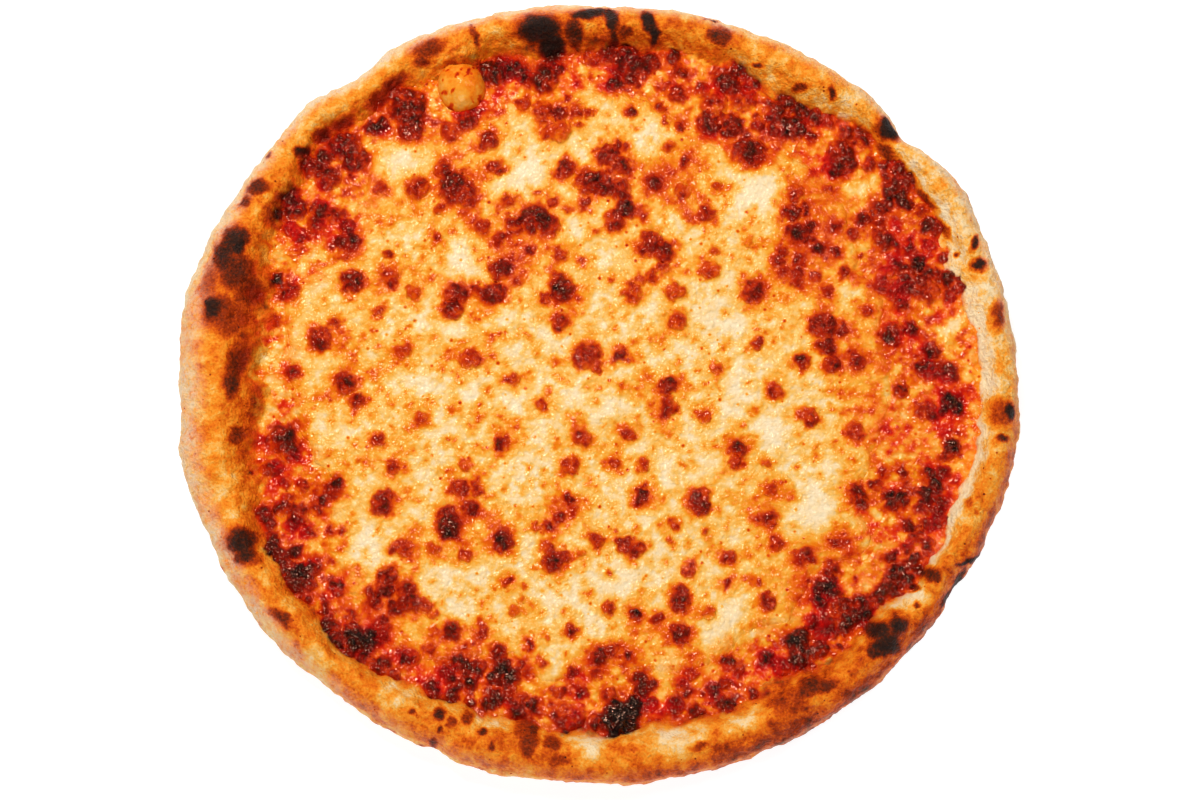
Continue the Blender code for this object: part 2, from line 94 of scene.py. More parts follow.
# Blisters of cheese and sauce, placed from the photo:
# x, y, radius in mm, and browning from 0.5 orange over 0.8 red to 1.1 black
BLISTERS = [
    # Upper left
    (-68, 106, 7, 1.0), (-66, 97, 5, 0.9), (-73, 113, 2.5, 0.85), (-80, 97, 3, 0.95), (-76, 99, 2.5, 0.85),
    (-89, 90, 6, 1.0), (-86, 86, 5, 0.98), (-97, 86, 3.2, 0.95), (-103, 84, 3, 0.95), (-100, 82, 4, 0.85),
    (-95, 79, 5, 0.92), (-109, 72, 4.5, 0.97), (-114, 66, 4.5, 1.0), (-106, 68, 4.5, 1.0), (-98, 67, 4, 0.95),
    (-99, 62, 4, 0.75), (-105, 58, 3, 0.75), (-108, 60, 3, 0.85), (-92, 65, 3.5, 0.9), (-88, 61, 3, 0.92),
    (-88, 55, 4.5, 0.9), (-90, 51, 3, 0.72), (-86, 41, 4.6, 0.93), (-76, 75, 3, 0.8), (-64, 75, 4.4, 0.88),
    (-50, 75, 6.3, 0.98), (-46, 70, 3, 0.8), (-55, 82, 3.6, 0.85), (-47, 100, 4.5, 0.93), (-52, 96, 4, 0.75),
    (-74, 51, 1.8, 0.8), (-73, 43, 3.2, 0.65), (-72, 40, 2, 0.75), (-65, 37, 3, 0.72), (-57, 57, 1.8, 0.72),
    (-56, 67, 2, 0.6), (-50, 36, 4.2, 0.88), (-108, 37, 3.6, 0.8), (-112, 42, 2, 0.95),
    # Top
    (-38, 117, 5, 0.97), (-34, 121, 3.5, 0.8), (-30, 119, 4, 0.9), (-27, 117, 3.5, 0.97), (-20, 115, 5.5, 0.92),
    (-16, 119, 3, 0.95), (-8, 127, 2, 1.0), (-27, 106, 2.8, 0.75), (-20, 103, 4, 0.82), (-14, 102, 2.8, 0.92),
    (-11, 108, 1.6, 0.9), (-8, 104, 3, 0.8), (-4, 102, 2, 0.78), (-15, 96, 5, 0.72), (-7, 98, 2.2, 0.72),
    (-39, 92, 3.6, 0.85), (-37, 83, 2.6, 0.75), (-35, 81, 1.8, 0.8), (-12, 82, 3.6, 0.87), (3, 87, 4, 0.95),
    (6, 91, 2, 0.85), (8, 83, 3.4, 0.8), (4, 82, 3, 0.88), (9, 90, 1.5, 0.75), (5, 114, 2.8, 0.93),
    (12, 114, 2, 0.75), (11, 103, 1.8, 0.93), (21, 105, 2.5, 0.85), (23, 99, 1.8, 0.8), (28, 98, 2.2, 0.75),
    (24, 90, 2.2, 0.7), (30, 85, 1.8, 0.75), (28, 118, 3, 0.95), (26, 123, 2.6, 1.0), (27, 110, 3.5, 0.93),
    (22, 113, 2.2, 0.78), (43, 115, 4, 0.8), (40, 106, 5, 0.72), (38, 99, 4.5, 0.9), (45, 98, 4.5, 0.93),
    (36, 111, 3, 0.7), (-3, 123, 3, 0.78), (10, 122, 6, 0.88), (3, 124, 4, 0.9), (17, 121, 4, 0.9),
    (-34, 103, 1.6, 0.6), (41, 76, 1.8, 0.72), (19, 77, 3, 0.75), (-5, 70, 1.8, 0.8), (-11, 67, 1.6, 0.75),
    (-22, 73, 1.5, 0.8), (-17, 70, 2, 0.78), (-32, 70, 2.6, 0.8), (-3, 77, 5, 0.97), (-7, 77, 3, 0.9),
    (2, 75, 3.5, 0.93), (7, 74, 4, 0.92), (9, 67, 3.5, 0.95), (5, 63, 4, 0.8), (15, 64, 1.5, 0.72),
    (-23, 64, 5.5, 1.0), (-18, 61, 4.4, 0.95), (-30, 62, 3.6, 0.85), (-41, 61, 3, 0.82), (-35, 57, 2.2, 0.72),
    (-35, 45, 4, 0.9), (-37, 37, 4.2, 0.85), (-42, 38, 3, 0.75), (-14, 51, 2.6, 0.78), (-7, 49, 1.4, 0.78),
    (-24, 52, 1.8, 0.8), (-28, 41, 1.8, 0.7), (-13, 38, 4.6, 0.93), (-15, 43, 2.5, 0.65), (-19, 35, 2.5, 0.75),
    (18, 56, 4, 0.92), (22, 51, 3.6, 0.93), (17, 53, 4, 0.88), (22, 46, 2.6, 0.85), (18, 43, 2.6, 0.8),
    (14, 41, 3, 0.78), (11, 37, 4, 0.85), (26, 37, 3.6, 0.85), (-2, 58, 1.5, 0.72), (4, 41, 1.4, 0.72),
    (40, 52, 2, 0.72), (38, 45, 3.4, 0.68), (37, 66, 3.4, 0.82), (29, 74, 3, 0.6),
    # Upper right
    (49, 118, 4, 0.93), (53, 114, 3.5, 0.8), (46, 113, 3.5, 0.8), (55, 121, 1.8, 0.95), (50, 108, 5, 0.75),
    (55, 99, 3, 0.75), (62, 102, 4.5, 0.93), (66, 107, 3.5, 0.97), (70, 103, 3, 0.97), (68, 97, 4.5, 0.9),
    (62, 97, 3.5, 0.85), (75, 101, 3.5, 0.8), (80, 100, 3, 0.75), (52, 88, 5.8, 0.93), (84, 88, 5, 0.95),
    (83, 84, 4.5, 0.93), (87, 84, 3.5, 0.9), (74, 94, 2, 0.75), (78, 82, 1.5, 0.85), (86, 95, 3, 0.85),
    (92, 92, 2.5, 0.85), (94, 84, 3, 0.75), (99, 84, 2, 0.85), (103, 77, 4, 0.93), (107, 76, 3.5, 0.9),
    (104, 83, 3, 0.92), (110, 79, 3, 0.97), (101, 74, 3, 0.85), (68, 73, 3.6, 0.75), (80, 75, 2.2, 0.75),
    (66, 66, 3.6, 0.92), (71, 68, 2.5, 0.8), (69, 58, 4, 0.92), (66, 59, 2.5, 0.85), (73, 61, 1.8, 0.85),
    (63, 52, 2.5, 0.7), (62, 48, 2.6, 0.78), (68, 49, 1.6, 0.78), (76, 53, 2.6, 0.82), (82, 52, 1.8, 0.78),
    (82, 61, 1.6, 0.75), (92, 64, 2.6, 0.93), (88, 58, 2, 0.75), (97, 68, 3.2, 0.95), (100, 69, 2.5, 0.95),
    (106, 70, 3.6, 1.05), (97, 58, 3.5, 0.82), (100, 56, 3.6, 0.85), (112, 67, 3, 0.85), (114, 61, 3.4, 1.0),
    (117, 60, 2.5, 0.95), (108, 55, 2, 0.85), (114, 54, 2.5, 0.75), (110, 48, 3, 1.03), (119, 50, 2.5, 0.9),
    (85, 44, 2.2, 0.82), (91, 50, 1.2, 0.8), (99, 43, 3.6, 0.75), (98, 40, 3.6, 0.82), (103, 46, 3, 0.72),
    (106, 44, 3.5, 0.85), (105, 39, 3.8, 0.85), (101, 37, 3, 0.8), (110, 40, 4, 0.9), (114, 44, 3.5, 0.85),
    (120, 42, 3.4, 1.0), (125, 40, 3.4, 0.9), (114, 37, 4, 0.78), (121, 36, 3, 0.75), (53, 37, 4.4, 0.95),
    (64, 44, 2.5, 0.62), (75, 42, 2, 0.7), (79, 38, 2.2, 0.8), (52, 55, 2.2, 0.6), (68, 42, 3, 0.6),
    # Middle
    (-97, 20, 4.5, 0.9), (-92, 26, 2.5, 0.85), (-110, -15, 5.5, 0.92), (-106, -20, 4, 0.88), (-88, 4, 4, 0.93),
    (-84, -2, 3, 0.85), (-45, 13, 4, 0.78), (-51, 31, 4, 0.95), (-5, 14, 5, 0.93), (7, 14, 2.6, 0.95),
    (-1, 10, 2.6, 0.85), (23, 3, 3.6, 0.92), (24, -4, 3.4, 0.9), (-6, -15, 3.4, 0.85), (-14, 26, 3, 0.8),
    (27, 27, 4, 0.82), (47, -19, 3.6, 0.9), (77, 25, 5, 0.97), (78, 18, 3.4, 0.9), (84, 23, 2, 0.8),
    (101, 23, 4.4, 0.85), (70, 12, 3, 0.8), (80, 11, 3.2, 0.85), (89, 12, 3, 0.85), (115, 16, 3, 0.95),
    (113, 9, 4, 0.95), (120, 8, 4, 0.93), (120, -2, 3.2, 1.03), (123, -5, 2.5, 1.0), (118, -5, 2.2, 0.93),
    (112, -5, 4, 0.95), (121, -18, 3, 1.02), (119, -21, 2.6, 0.95), (123, -21, 2, 0.9),
    (104, 2, 3, 0.85), (-68, 16, 3, 0.7), (-62, -8, 2.6, 0.75), (-30, 6, 2.6, 0.75), (-34, -17, 3, 0.85),
    (40, 10, 2.4, 0.75), (60, 2, 3, 0.82), (72, -8, 3.4, 0.85), (88, -13, 3, 0.8), (10, -14, 2.4, 0.8),
    (-76, -16, 2.6, 0.8), (-20, -3, 2.2, 0.75), (54, 18, 2.4, 0.72), (-106, 8, 3, 0.85), (104, 33, 3, 0.8),
    (-112, 27, 2.4, 0.85), (36, -8, 2.4, 0.75), (-77, 30, 2, 0.8), (92, 30, 2, 0.75), (108, 24, 3, 0.8),
    # Lower left
    (-124, -25, 2.6, 0.9), (-121, -28, 2.5, 0.95), (-124, -35, 4, 1.0), (-122, -39, 2.5, 0.85),
    (-112, -25, 3.6, 0.75), (-115, -26, 2.5, 0.8), (-108, -31, 2.2, 0.72), (-102, -32, 2.6, 0.72),
    (-94, -37, 2, 0.75), (-97, -40, 2.5, 0.8), (-90, -31, 2.2, 0.88), (-92, -34, 3, 0.78), (-107, -36, 2.8, 0.75),
    (-104, -42, 4.4, 0.8), (-109, -40, 3, 0.8), (-115, -42, 3, 0.78), (-113, -46, 2.5, 0.9), (-106, -46, 3, 0.72),
    (-100, -48, 3, 0.7), (-112, -50, 2.5, 0.9), (-74, -36, 3, 0.8), (-75, -39, 4, 0.97), (-71, -26, 2.4, 0.8),
    (-53, -42, 3.5, 0.93), (-52, -46, 4.6, 1.0), (-46, -25, 2.4, 0.75), (-43, -31, 2.2, 0.75),
    (-42, -34, 2.6, 0.8), (-48, -33, 3, 0.82), (-45, -40, 3, 0.88), (-88, -48, 1.8, 0.72), (-93, -48, 1.1, 0.9),
    (-70, -54, 2.2, 0.85), (-67, -54, 3.5, 0.65), (-57, -54, 2.4, 0.7), (-46, -57, 2.6, 0.75),
    (-113, -55, 4, 0.98), (-108, -58, 4.4, 1.0), (-104, -55, 3, 1.02), (-106, -62, 3.6, 0.97),
    (-102, -62, 3, 1.05), (-98, -61, 3, 0.85), (-104, -67, 3, 0.93), (-100, -66, 3.5, 0.85), (-100, -71, 2.6, 0.75),
    (-90, -66, 2.4, 0.93), (-89, -69, 2, 0.8), (-92, -59, 1.6, 0.75), (-72, -64, 3.6, 0.92), (-73, -68, 3.4, 0.92),
    (-66, -69, 3.6, 0.85), (-65, -73, 4.4, 0.95), (-69, -75, 3.5, 0.9), (-78, -70, 2.8, 0.78), (-76, -73, 2.5, 0.82),
    (-60, -74, 3, 0.85), (-57, -77, 2, 0.75), (-94, -75, 2.6, 0.85), (-92, -78, 2.5, 0.8), (-84, -78, 2.8, 0.75),
    (-92, -82, 3.6, 0.93), (-90, -86, 3.6, 0.97), (-85, -83, 3, 0.93), (-83, -86, 4.5, 1.05), (-79, -87, 4.5, 1.04),
    (-75, -82, 3.4, 0.75), (-74, -79, 2, 0.75), (-73, -85, 2, 0.8), (-86, -90, 3, 0.85), (-79, -92, 3.4, 0.92),
    (-74, -95, 3.6, 0.8), (-70, -98, 2.6, 0.72), (-50, -83, 3.5, 0.95), (-58, -89, 2.2, 0.75),
    # Lower middle
    (-33, -50, 3, 0.8), (-33, -52, 4, 0.93), (-17, -55, 2.6, 0.8), (-16, -59, 4.4, 0.97), (-12, -57, 2.2, 0.85),
    (-14, -43, 2.2, 0.82), (-18, -46, 1.8, 0.82), (-22, -46, 2.2, 0.6), (-10, -37, 2, 0.78), (-9, -39, 1.6, 0.65),
    (-10, -25, 3.2, 0.88), (5, -24, 1.8, 0.75), (15, -25, 2.6, 0.82), (14, -34, 2.2, 0.85), (14, -36, 2.6, 0.98),
    (35, -36, 3.4, 0.85), (34, -39, 4, 0.97), (-4, -49, 2, 0.7), (-1, -51, 3, 0.85), (8, -53, 3.2, 0.97),
    (12, -54, 3.6, 0.95), (-7, -56, 2.2, 0.62), (3, -63, 1.2, 0.78), (5, -48, 1.2, 0.8), (25, -46, 2, 0.65),
    (36, -48, 1.8, 0.72), (24, -51, 1.6, 0.68), (30, -62, 2.8, 0.88), (30, -59, 1.8, 0.75), (27, -69, 2.8, 0.85),
    (27, -73, 4, 0.95), (27, -84, 3.6, 0.97), (28, -86, 2.4, 0.82), (20, -79, 2.4, 0.7), (3, -75, 2.4, 0.85),
    (12, -77, 2.4, 0.92), (-29, -76, 2.4, 0.72), (-27, -72, 1.8, 0.62), (-32, -65, 1.8, 0.75), (-26, -67, 1.4, 0.65),
    (-40, -83, 2.4, 0.82), (-10, -83, 2.4, 0.85), (-23, -88, 1.4, 0.85), (-18, -85, 1.6, 0.75), (37, -77, 2.4, 0.62),
    # Lower right
    (46, -24, 2.4, 0.8), (57, -24, 2, 0.75), (58, -33, 3, 0.7), (62, -31, 1.4, 0.75), (58, -44, 2.8, 0.85),
    (55, -43, 2, 0.7), (60, -53, 2.6, 0.7), (44, -57, 2.8, 0.85), (43, -66, 1.6, 0.85), (54, -66, 1.4, 0.85),
    (57, -71, 2.2, 0.8), (57, -73, 3, 0.92), (80, -52, 1.6, 0.85), (69, -57, 3.8, 0.87), (79, -61, 3, 0.87),
    (71, -66, 1.2, 0.75), (78, -68, 3.4, 0.98), (80, -70, 3.4, 1.0), (75, -68, 2.6, 0.85), (82, -74, 3, 0.93),
    (76, -73, 3, 0.78), (73, -72, 2.2, 0.75), (87, -65, 1.2, 0.78), (90, -73, 4, 0.85), (86, -77, 3, 0.8),
    (85, -79, 3, 1.02), (83, -82, 3, 0.93), (79, -84, 2, 0.8), (78, -80, 2.6, 0.75), (71, -80, 2.6, 0.72),
    (75, -84, 3, 0.7), (67, -86, 4.2, 1.07), (68, -90, 3.6, 1.03), (88, -35, 3.8, 0.85), (90, -38, 2.6, 0.9),
    (94, -32, 2.6, 0.72), (97, -35, 2, 0.75), (101, -36, 3, 0.85), (104, -37, 2.2, 1.0), (100, -39, 2.2, 0.78),
    (112, -35, 3.4, 1.05), (115, -32, 3, 1.05), (104, -27, 2, 0.75), (113, -27, 2.2, 0.9), (118, -27, 3, 0.8),
    (115, -39, 4, 0.92), (110, -40, 3, 0.85), (116, -44, 3.4, 0.88), (106, -46, 2.6, 1.02), (112, -46, 2.8, 0.95),
    (108, -50, 3, 0.85), (112, -52, 2.8, 0.92), (112, -55, 2.2, 0.85), (105, -54, 2.4, 0.92), (107, -58, 2.4, 0.95),
    (99, -57, 2.2, 0.92), (101, -63, 3.4, 1.03), (98, -67, 3.4, 0.95), (95, -70, 3, 0.93), (101, -69, 3, 0.88),
    (92, -71, 2.4, 0.93), (90, -77, 2.4, 0.95), (105, -66, 2.5, 0.75),
    # Bottom
    (-66, -92, 2.6, 1.0), (-64, -92, 3.4, 0.75), (-34, -91, 2.6, 0.85), (-33, -95, 3, 0.98), (-47, -94, 3.6, 0.97),
    (-45, -96, 2.4, 0.95), (-41, -95, 2.8, 0.85), (-43, -98, 2.6, 0.85), (-52, -98, 3, 0.8), (-57, -103, 2.8, 1.03),
    (-57, -105, 3.6, 0.8), (-50, -104, 2.8, 0.9), (-52, -107, 3, 0.75), (-44, -102, 2.6, 0.97), (-44, -107, 2.4, 0.75),
    (-36, -99, 2.4, 0.9), (-38, -108, 3.2, 1.0), (-35, -106, 3, 1.02), (-32, -103, 4, 0.85), (-30, -99, 3.4, 0.9),
    (-27, -95, 2, 0.78), (-30, -108, 3, 0.82), (-27, -106, 2.6, 0.8), (-23, -108, 2.2, 0.97), (-28, -111, 2.6, 0.85),
    (-20, -94, 1.8, 0.7), (-10, -97, 2.4, 0.82), (-14, -104, 2.2, 0.8), (-6, -104, 2.2, 0.78), (-10, -112, 5.5, 0.74),
    (-12, -118, 2, 0.8), (-1, -115, 2.4, 0.9), (0, -91, 3.6, 0.92), (4, -89, 2.4, 0.8), (-1, -98, 2.2, 0.75),
    (10, -91, 1.6, 0.85), (13, -99, 3, 0.97), (14, -103, 3.4, 1.02), (17, -101, 2.4, 0.85), (17, -108, 3, 0.8),
    (3, -105, 3.4, 0.85), (7, -113, 6.6, 1.12), (11, -109, 4.2, 1.1), (5, -118, 3.6, 1.05), (26, -108, 3.6, 0.95),
    (29, -104, 2.2, 0.85), (31, -98, 2.4, 0.72), (27, -101, 3, 0.68), (33, -111, 3, 0.78), (38, -103, 2.4, 0.93),
    (42, -101, 2.4, 0.8), (40, -107, 3, 0.85), (43, -109, 3, 0.93), (45, -112, 2.6, 0.75), (44, -94, 3, 0.88),
    (47, -96, 2.2, 0.75), (57, -92, 3, 0.85), (62, -95, 3.4, 0.82), (67, -93, 3.4, 1.06), (72, -90, 3, 0.85),
    (75, -89, 3, 0.88), (82, -89, 1.4, 0.95), (72, -95, 2.4, 0.75), (52, -105, 2.2, 0.85), (57, -105, 1.6, 0.88),
    (56, -112, 3, 0.72), (61, -109, 1.8, 0.95),
]

# Broad parts of the cheese that the oil has turned yellow to orange: x, y, radius, amount
OILY_PARTS = [
    (-80, 76, 13, 0.24), (-60, 97, 12, 0.22), (-40, 80, 12, 0.18), (-28, 49, 12, 0.22), (-50, 60, 12, 0.14),
    (-13, 84, 12, 0.12), (12, 109, 12, 0.2), (22, 76, 16, 0.24), (30, 90, 10, 0.14), (62, 84, 12, 0.16),
    (74, 60, 13, 0.22), (68, 44, 12, 0.22), (92, 82, 12, 0.28), (86, 70, 10, 0.2), (105, 60, 12, 0.2),
    (-96, -54, 13, 0.26), (-68, -52, 10, 0.2), (-45, -45, 12, 0.22), (-90, -74, 10, 0.26), (-76, -79, 10, 0.28),
    (-60, -88, 10, 0.24), (-44, -88, 8, 0.2), (-22, -46, 9, 0.14), (-8, -38, 8, 0.14), (58, -40, 12, 0.2),
    (96, -46, 10, 0.26), (84, -61, 14, 0.28), (66, -65, 9, 0.18), (64, -84, 9, 0.2), (10, -92, 14, 0.22),
    (-110, 45, 12, 0.28), (-80, 12, 16, 0.16), (90, 12, 16, 0.2), (20, 8, 14, 0.12), (36, -100, 10, 0.26),
]
# Parts where the cheese stayed pale and thick
PALE_PARTS = [
    (-68, 84, 8, 0.2), (-18, 87, 12, 0.2), (-31, 76, 7, 0.2), (4, 105, 9, 0.22), (34, 106, 5, 0.2),
    (18, 95, 8, 0.2), (58, 70, 14, 0.2), (72, 88, 6, 0.16), (-100, 48, 8, 0.26), (-46, 50, 9, 0.16),
    (-85, -46, 10, 0.2), (-80, -56, 9, 0.16), (-52, -72, 12, 0.16), (-25, -60, 14, 0.12), (2, -66, 18, 0.12),
    (24, -56, 14, 0.12), (46, -80, 12, 0.18), (72, -44, 12, 0.16), (-16, -98, 6, 0.2), (24, -96, 7, 0.2),
    (52, -100, 5, 0.24), (40, 20, 20, 0.1), (-60, 60, 8, 0.1), (-102, -29, 3, 0.3), (-98, -36, 2.5, 0.3),
]

# Burnt and browned places on the rim, and painted shade at its inner foot: x, y, half length, half width, turn in
# degrees, browning
BURNT_AND_SHADED_PLACES = [
    (-21, 133, 7.6, 4.8, 0, 1.1), (-17, 127, 4.4, 5.5, 0, 1.12), (-9, 132, 3, 5, 0, 0.93),
    (-4, 139, 6, 2, 8, 1.06), (4, 137, 2.4, 4.6, 20, 1.04), (5, 130, 1.5, 4.6, 0, 0.95), (9, 132, 2.4, 2.6, 0, 0.85),
    (17, 136, 2.2, 3.6, 20, 1.08), (19, 131, 2, 3.6, 5, 1.08), (42, 131, 4.6, 3.4, -10, 0.88),
    (40, 137, 3, 0.9, -8, 0.97), (-44, 130, 1.1, 5, 15, 0.86), (-60, 126, 6, 3, 20, 0.82), (-62, 121, 3, 2, 20, 0.85),
    (-72, 113, 6, 3, 35, 0.84), (-78, 107, 5, 3.4, 35, 0.82), (-104, 88, 2.3, 2.1, 0, 1.0),
    (-115, 87, 1.5, 1, 30, 0.88),
    (-90, 98, 5, 2.6, 35, 0.84), (-97, 94, 3.6, 2.6, 35, 0.86), (-119, 75, 4.4, 2.4, 15, 0.9),
    (-124, 70, 3, 2, 25, 0.88),
    (-126, 56, 5.5, 4.2, 55, 0.99), (-125, 54, 2.4, 3, 0, 1.08), (-130, 50, 3.4, 6, -15, 0.97),
    (-126, 45, 6, 6.5, -15, 0.9), (-121, 38, 5, 6.5, 0, 0.84), (-133, 32, 3.4, 4, 0, 1.03), (-127, 28, 7, 7, 0, 0.78),
    (-132, 31, 5.5, 6.5, 0, 0.84), (-135, 42, 3.4, 9, -14, 0.72),
    (-125, 11, 3.4, 9, -15, 0.86), (-126, 4, 2.6, 5, 0, 0.92), (-124, -14, 3.4, 3, 0, 0.85),
    (-122.5, -51, 5, 4.6, 10, 1.0), (-121, -56, 3.4, 3, 20, 0.97), (-118, -58, 3, 2, 30, 0.72),
    (-107, -78, 4.2, 2.4, -40, 0.86), (-110, -76, 3, 2, -40, 0.76), (-56, -121, 1.5, 2.2, 0, 0.86),
    (-36, -122, 1.5, 2, 0, 0.86), (-54, -111, 1.8, 1.8, 0, 0.96), (-54, -116, 1.1, 1.3, 0, 0.88),
    (-50, -114, 1.8, 2, 0, 0.8), (-45, -112, 2, 2.4, 0, 0.8), (-40, -117, 1.5, 1.1, 0, 0.92),
    (-63, -110, 1.2, 1.2, 0, 0.88),
    (-25, -116, 4, 4, 0, 0.78), (-24, -121, 3, 4.4, 0, 0.84), (-23, -117, 1.6, 1.6, 0, 0.9),
    (-16, -121, 3, 2.8, 0, 0.82),
    (-13, -127, 4, 1.8, 0, 0.78), (34, -122, 3, 1.5, 10, 0.76), (67, -115, 4.6, 2.6, 25, 0.78),
    (69, -109, 1.5, 1.5, 0, 0.82),
    (71, -101, 4, 2.8, 20, 0.9), (76, -101, 4, 2.4, 15, 0.86), (69, -104, 3, 1.8, 0, 0.84), (94, -82, 4, 3, 0, 1.0),
    (101, -80, 3.8, 3, 0, 1.03), (97, -87, 5, 4, 0, 1.05), (99, -84, 3, 3, 0, 0.96), (93, -89, 3.4, 2.8, 0, 0.98),
    (109, -62, 2.2, 2, 0, 0.95), (113, -63, 2.6, 2.3, 0, 0.92), (107, -67, 1.6, 1, 0, 0.96),
    (107, -73, 1.3, 1, 0, 0.88),
    (126, -38, 1.1, 2.2, -20, 0.66), (128, -41, 0.9, 1.4, 0, 0.62), (126, -58, 4.6, 1.1, 25, 1.06),
    (122, -66, 1.3, 6, -25, 1.0), (118, -71, 1.1, 4, -30, 0.97), (141, -6, 2, 3.4, 15, 1.08),
    (138, -6, 4, 4.6, 0, 0.74),
    (138, -15, 1.8, 1.5, 0, 0.96), (138, 29, 2.6, 5, -15, 0.82), (131, 47, 2.6, 2.3, 0, 1.04),
    (130, 55, 1.1, 2.1, -20, 1.0),
    (124, 51, 0.9, 0.8, 0, 0.9), (100.8, 96.8, 3.9, 3.4, -45, 1.12), (81, 110, 1.3, 2.4, 0, 0.95),
    (70, 112, 2.8, 1.8, 0, 0.86),
    # From (92, 95) on, these places are painted shade: the rim's shadow along its inner foot at the upper right, drawn
    # as browning.
    (55, 120, 2, 1, 0, 0.96), (92, 95, 5, 2.4, -40, 0.8), (100, 88, 5, 2, -45, 0.84), (107, 80, 5, 1.7, -48, 0.86),
    (113, 71, 5, 1.3, -55, 0.82), (119, 61, 4, 1, -60, 0.78),
]

# How far the dough slopes in over the edge of the sauce, in mm, every fifteen degrees from +X
APRON = [3, 3.5, 4, 4, 4, 3.5, 3.5, 3.5, 5, 5, 5.5, 10, 10, 9, 5, 4, 4, 4, 4.5, 4.5, 4, 4, 3.5, 3]

# How toasted the rim is on its crest, inner and outer slope, and how floury, every thirty degrees from +X
CREST_TOAST = [0.26, 0.22, 0.36, 0.43, 0.31, 0.34, 0.4, 0.36, 0.43, 0.48, 0.56, 0.5]
INNER_TOAST = [0.0, 0.14, 0.33, 0.43, 0.33, 0.48, 0.58, 0.45, 0.33, 0.28, 0.58, 0.12]
# The outer slope's high values from 240 to 330 degrees are partly toasting and partly painted shade of the flank
# turned from the lamp.
OUTER_TOAST_AND_SHADE = [0.4, 0.2, 0.22, 0.25, 0.1, 0.14, 0.3, 0.3, 0.42, 0.54, 0.7, 0.66]
FLOUR = [0.4, 0.95, 0.75, 0.85, 1.0, 0.9, 0.8, 0.8, 0.3, 0.1, 0.05, 0.05]
# How far up the rim the oil of the topping has soaked in, in mm of height
STAIN_HEIGHT = [0.3, 0.4, 1.2, 3.2, 5.5, 5.5, 2.4, 0.8, 0.9, 1.2, 1.8, 0.6]
# How browned the topping is where it meets the rim
EDGE_BROWNING = [0.3, 0.33, 0.38, 0.44, 0.36, 0.38, 0.5, 0.5, 0.46, 0.46, 0.45, 0.38]
# Parts of the dough that stayed pale: x, y, radius, amount
PALE_DOUGH = [
    (-3, -123, 5, 0.4), (24, -121, 7, 0.4), (34, -119, 5, 0.3), (45, -115, 5, 0.35), (52, -111, 4, 0.3),
    (-68, -106, 4, 0.16), (104, -76, 4, 0.35), (109, -71, 4, 0.35), (121, -26, 5, 0.2),
]

# Colours from pale to burnt
CHEESE_COLOURS = [
    (0.00, "F8E0B6"), (0.11, "F6D298"), (0.21, "F5BE62"), (0.31, "F4A432"), (0.41, "EF8012"),
    (0.50, "E45C0A"), (0.59, "D03C08"), (0.68, "AE2006"), (0.78, "7C0E04"), (0.88, "4C0C04"), (0.95, "240805"),
    (1.00, "120A08"),
]
SAUCE_COLOURS = [
    (0.00, "F6B44A"), (0.22, "F28C1A"), (0.37, "EA5810"), (0.49, "DA280C"), (0.61, "C0100C"),
    (0.73, "940808"), (0.85, "560505"), (0.94, "240806"), (1.00, "120A08"),
]
DOUGH_COLOURS = [
    (0.00, "FBE0B2"), (0.12, "FAD296"), (0.23, "FAB654"), (0.33, "F89828"), (0.44, "F07A14"), (0.55, "D65408"),
    (0.66, "A83406"), (0.78, "6C220A"), (0.88, "361B12"), (1.00, "1C1615"),
]
FLOUR_COLOUR = "EECBA8"
OIL_TINT = "FFBC9C"
GROUND_COLOUR = "A0A0A0"
GROUND_GLOW = 0.84

# Mesh density
RIM_COLUMNS = 1400
SOLE_SHARES = [0.12, 0.3, 0.5, 0.7, 0.88]
CURL_STEPS = 8
OUTER_STEPS = 24
INNER_STEPS = 32
CHEESE_CELLS = 300
CHEESE_CAP_SPACING = 0.36
SAUCE_CAP_SPACING = 0.44
CAP_LEAST_RADIUS = 1.7
CAP_TUCK = 0.35
SAUCE_COLUMNS = 1500
SAUCE_ROWS = 58

# Camera, as the photo was taken
CAMERA_TILT = 15.0
CAMERA_DISTANCE = 1600.0
CAMERA_LENS = 139.13
CAMERA_AIM = (0.0, -1.07, 6.0)
# Height at which the places on the rim were read off the photo
READ_HEIGHT = 7.0

# Lamps: name, place and size in m, power in W
LAMPS = [
    ("window_lamp", (-0.42, 0.72, 1.25), 0.3, 17),
    ("side_lamp", (0.75, 0.45, 1.15), 0.4, 4),
    ("front_softbox", (-0.1, -1.2, 1.0), 0.6, 9),
]


# Numbers over the pizza


def ring_value(values, angle):
    """Smooth value at angles in degrees from values evenly spread round the circle."""
    values = np.array(values, float)
    count = len(values)
    place = np.mod(angle, 360) * count / 360
    index = np.floor(place).astype(int)
    t = place - index
    a, b, c, d = (values[(index + k) % count] for k in (-1, 0, 1, 2))
    bend = (-a + 3 * b - 3 * c + d) * t ** 3 + (2 * a - 5 * b + 4 * c - d) * t ** 2
    return 0.5 * (bend + (c - a) * t + 2 * b)


def ramp_up(value, low, high):
    """Rises smoothly from 0 at low to 1 at high."""
    t = np.clip((value - low) / (high - low), 0, 1)
    return t * t * (3 - 2 * t)


def waves(x, y, size, seed):
    """Random smooth waves between -1 and 1, with lumps of the given size in mm."""
    table = np.random.default_rng(seed).uniform(-1, 1, (128, 128))
    u, v = x / size, y / size
    i, j = np.floor(u).astype(int), np.floor(v).astype(int)
    s, t = u - i, v - j
    s, t = s ** 3 * (s * (s * 6 - 15) + 10), t ** 3 * (t * (t * 6 - 15) + 10)
    i, j, ii, jj = i % 128, j % 128, (i + 1) % 128, (j + 1) % 128
    near = table[i, j] * (1 - s) + table[ii, j] * s
    far = table[i, jj] * (1 - s) + table[ii, jj] * s
    return near * (1 - t) + far * t


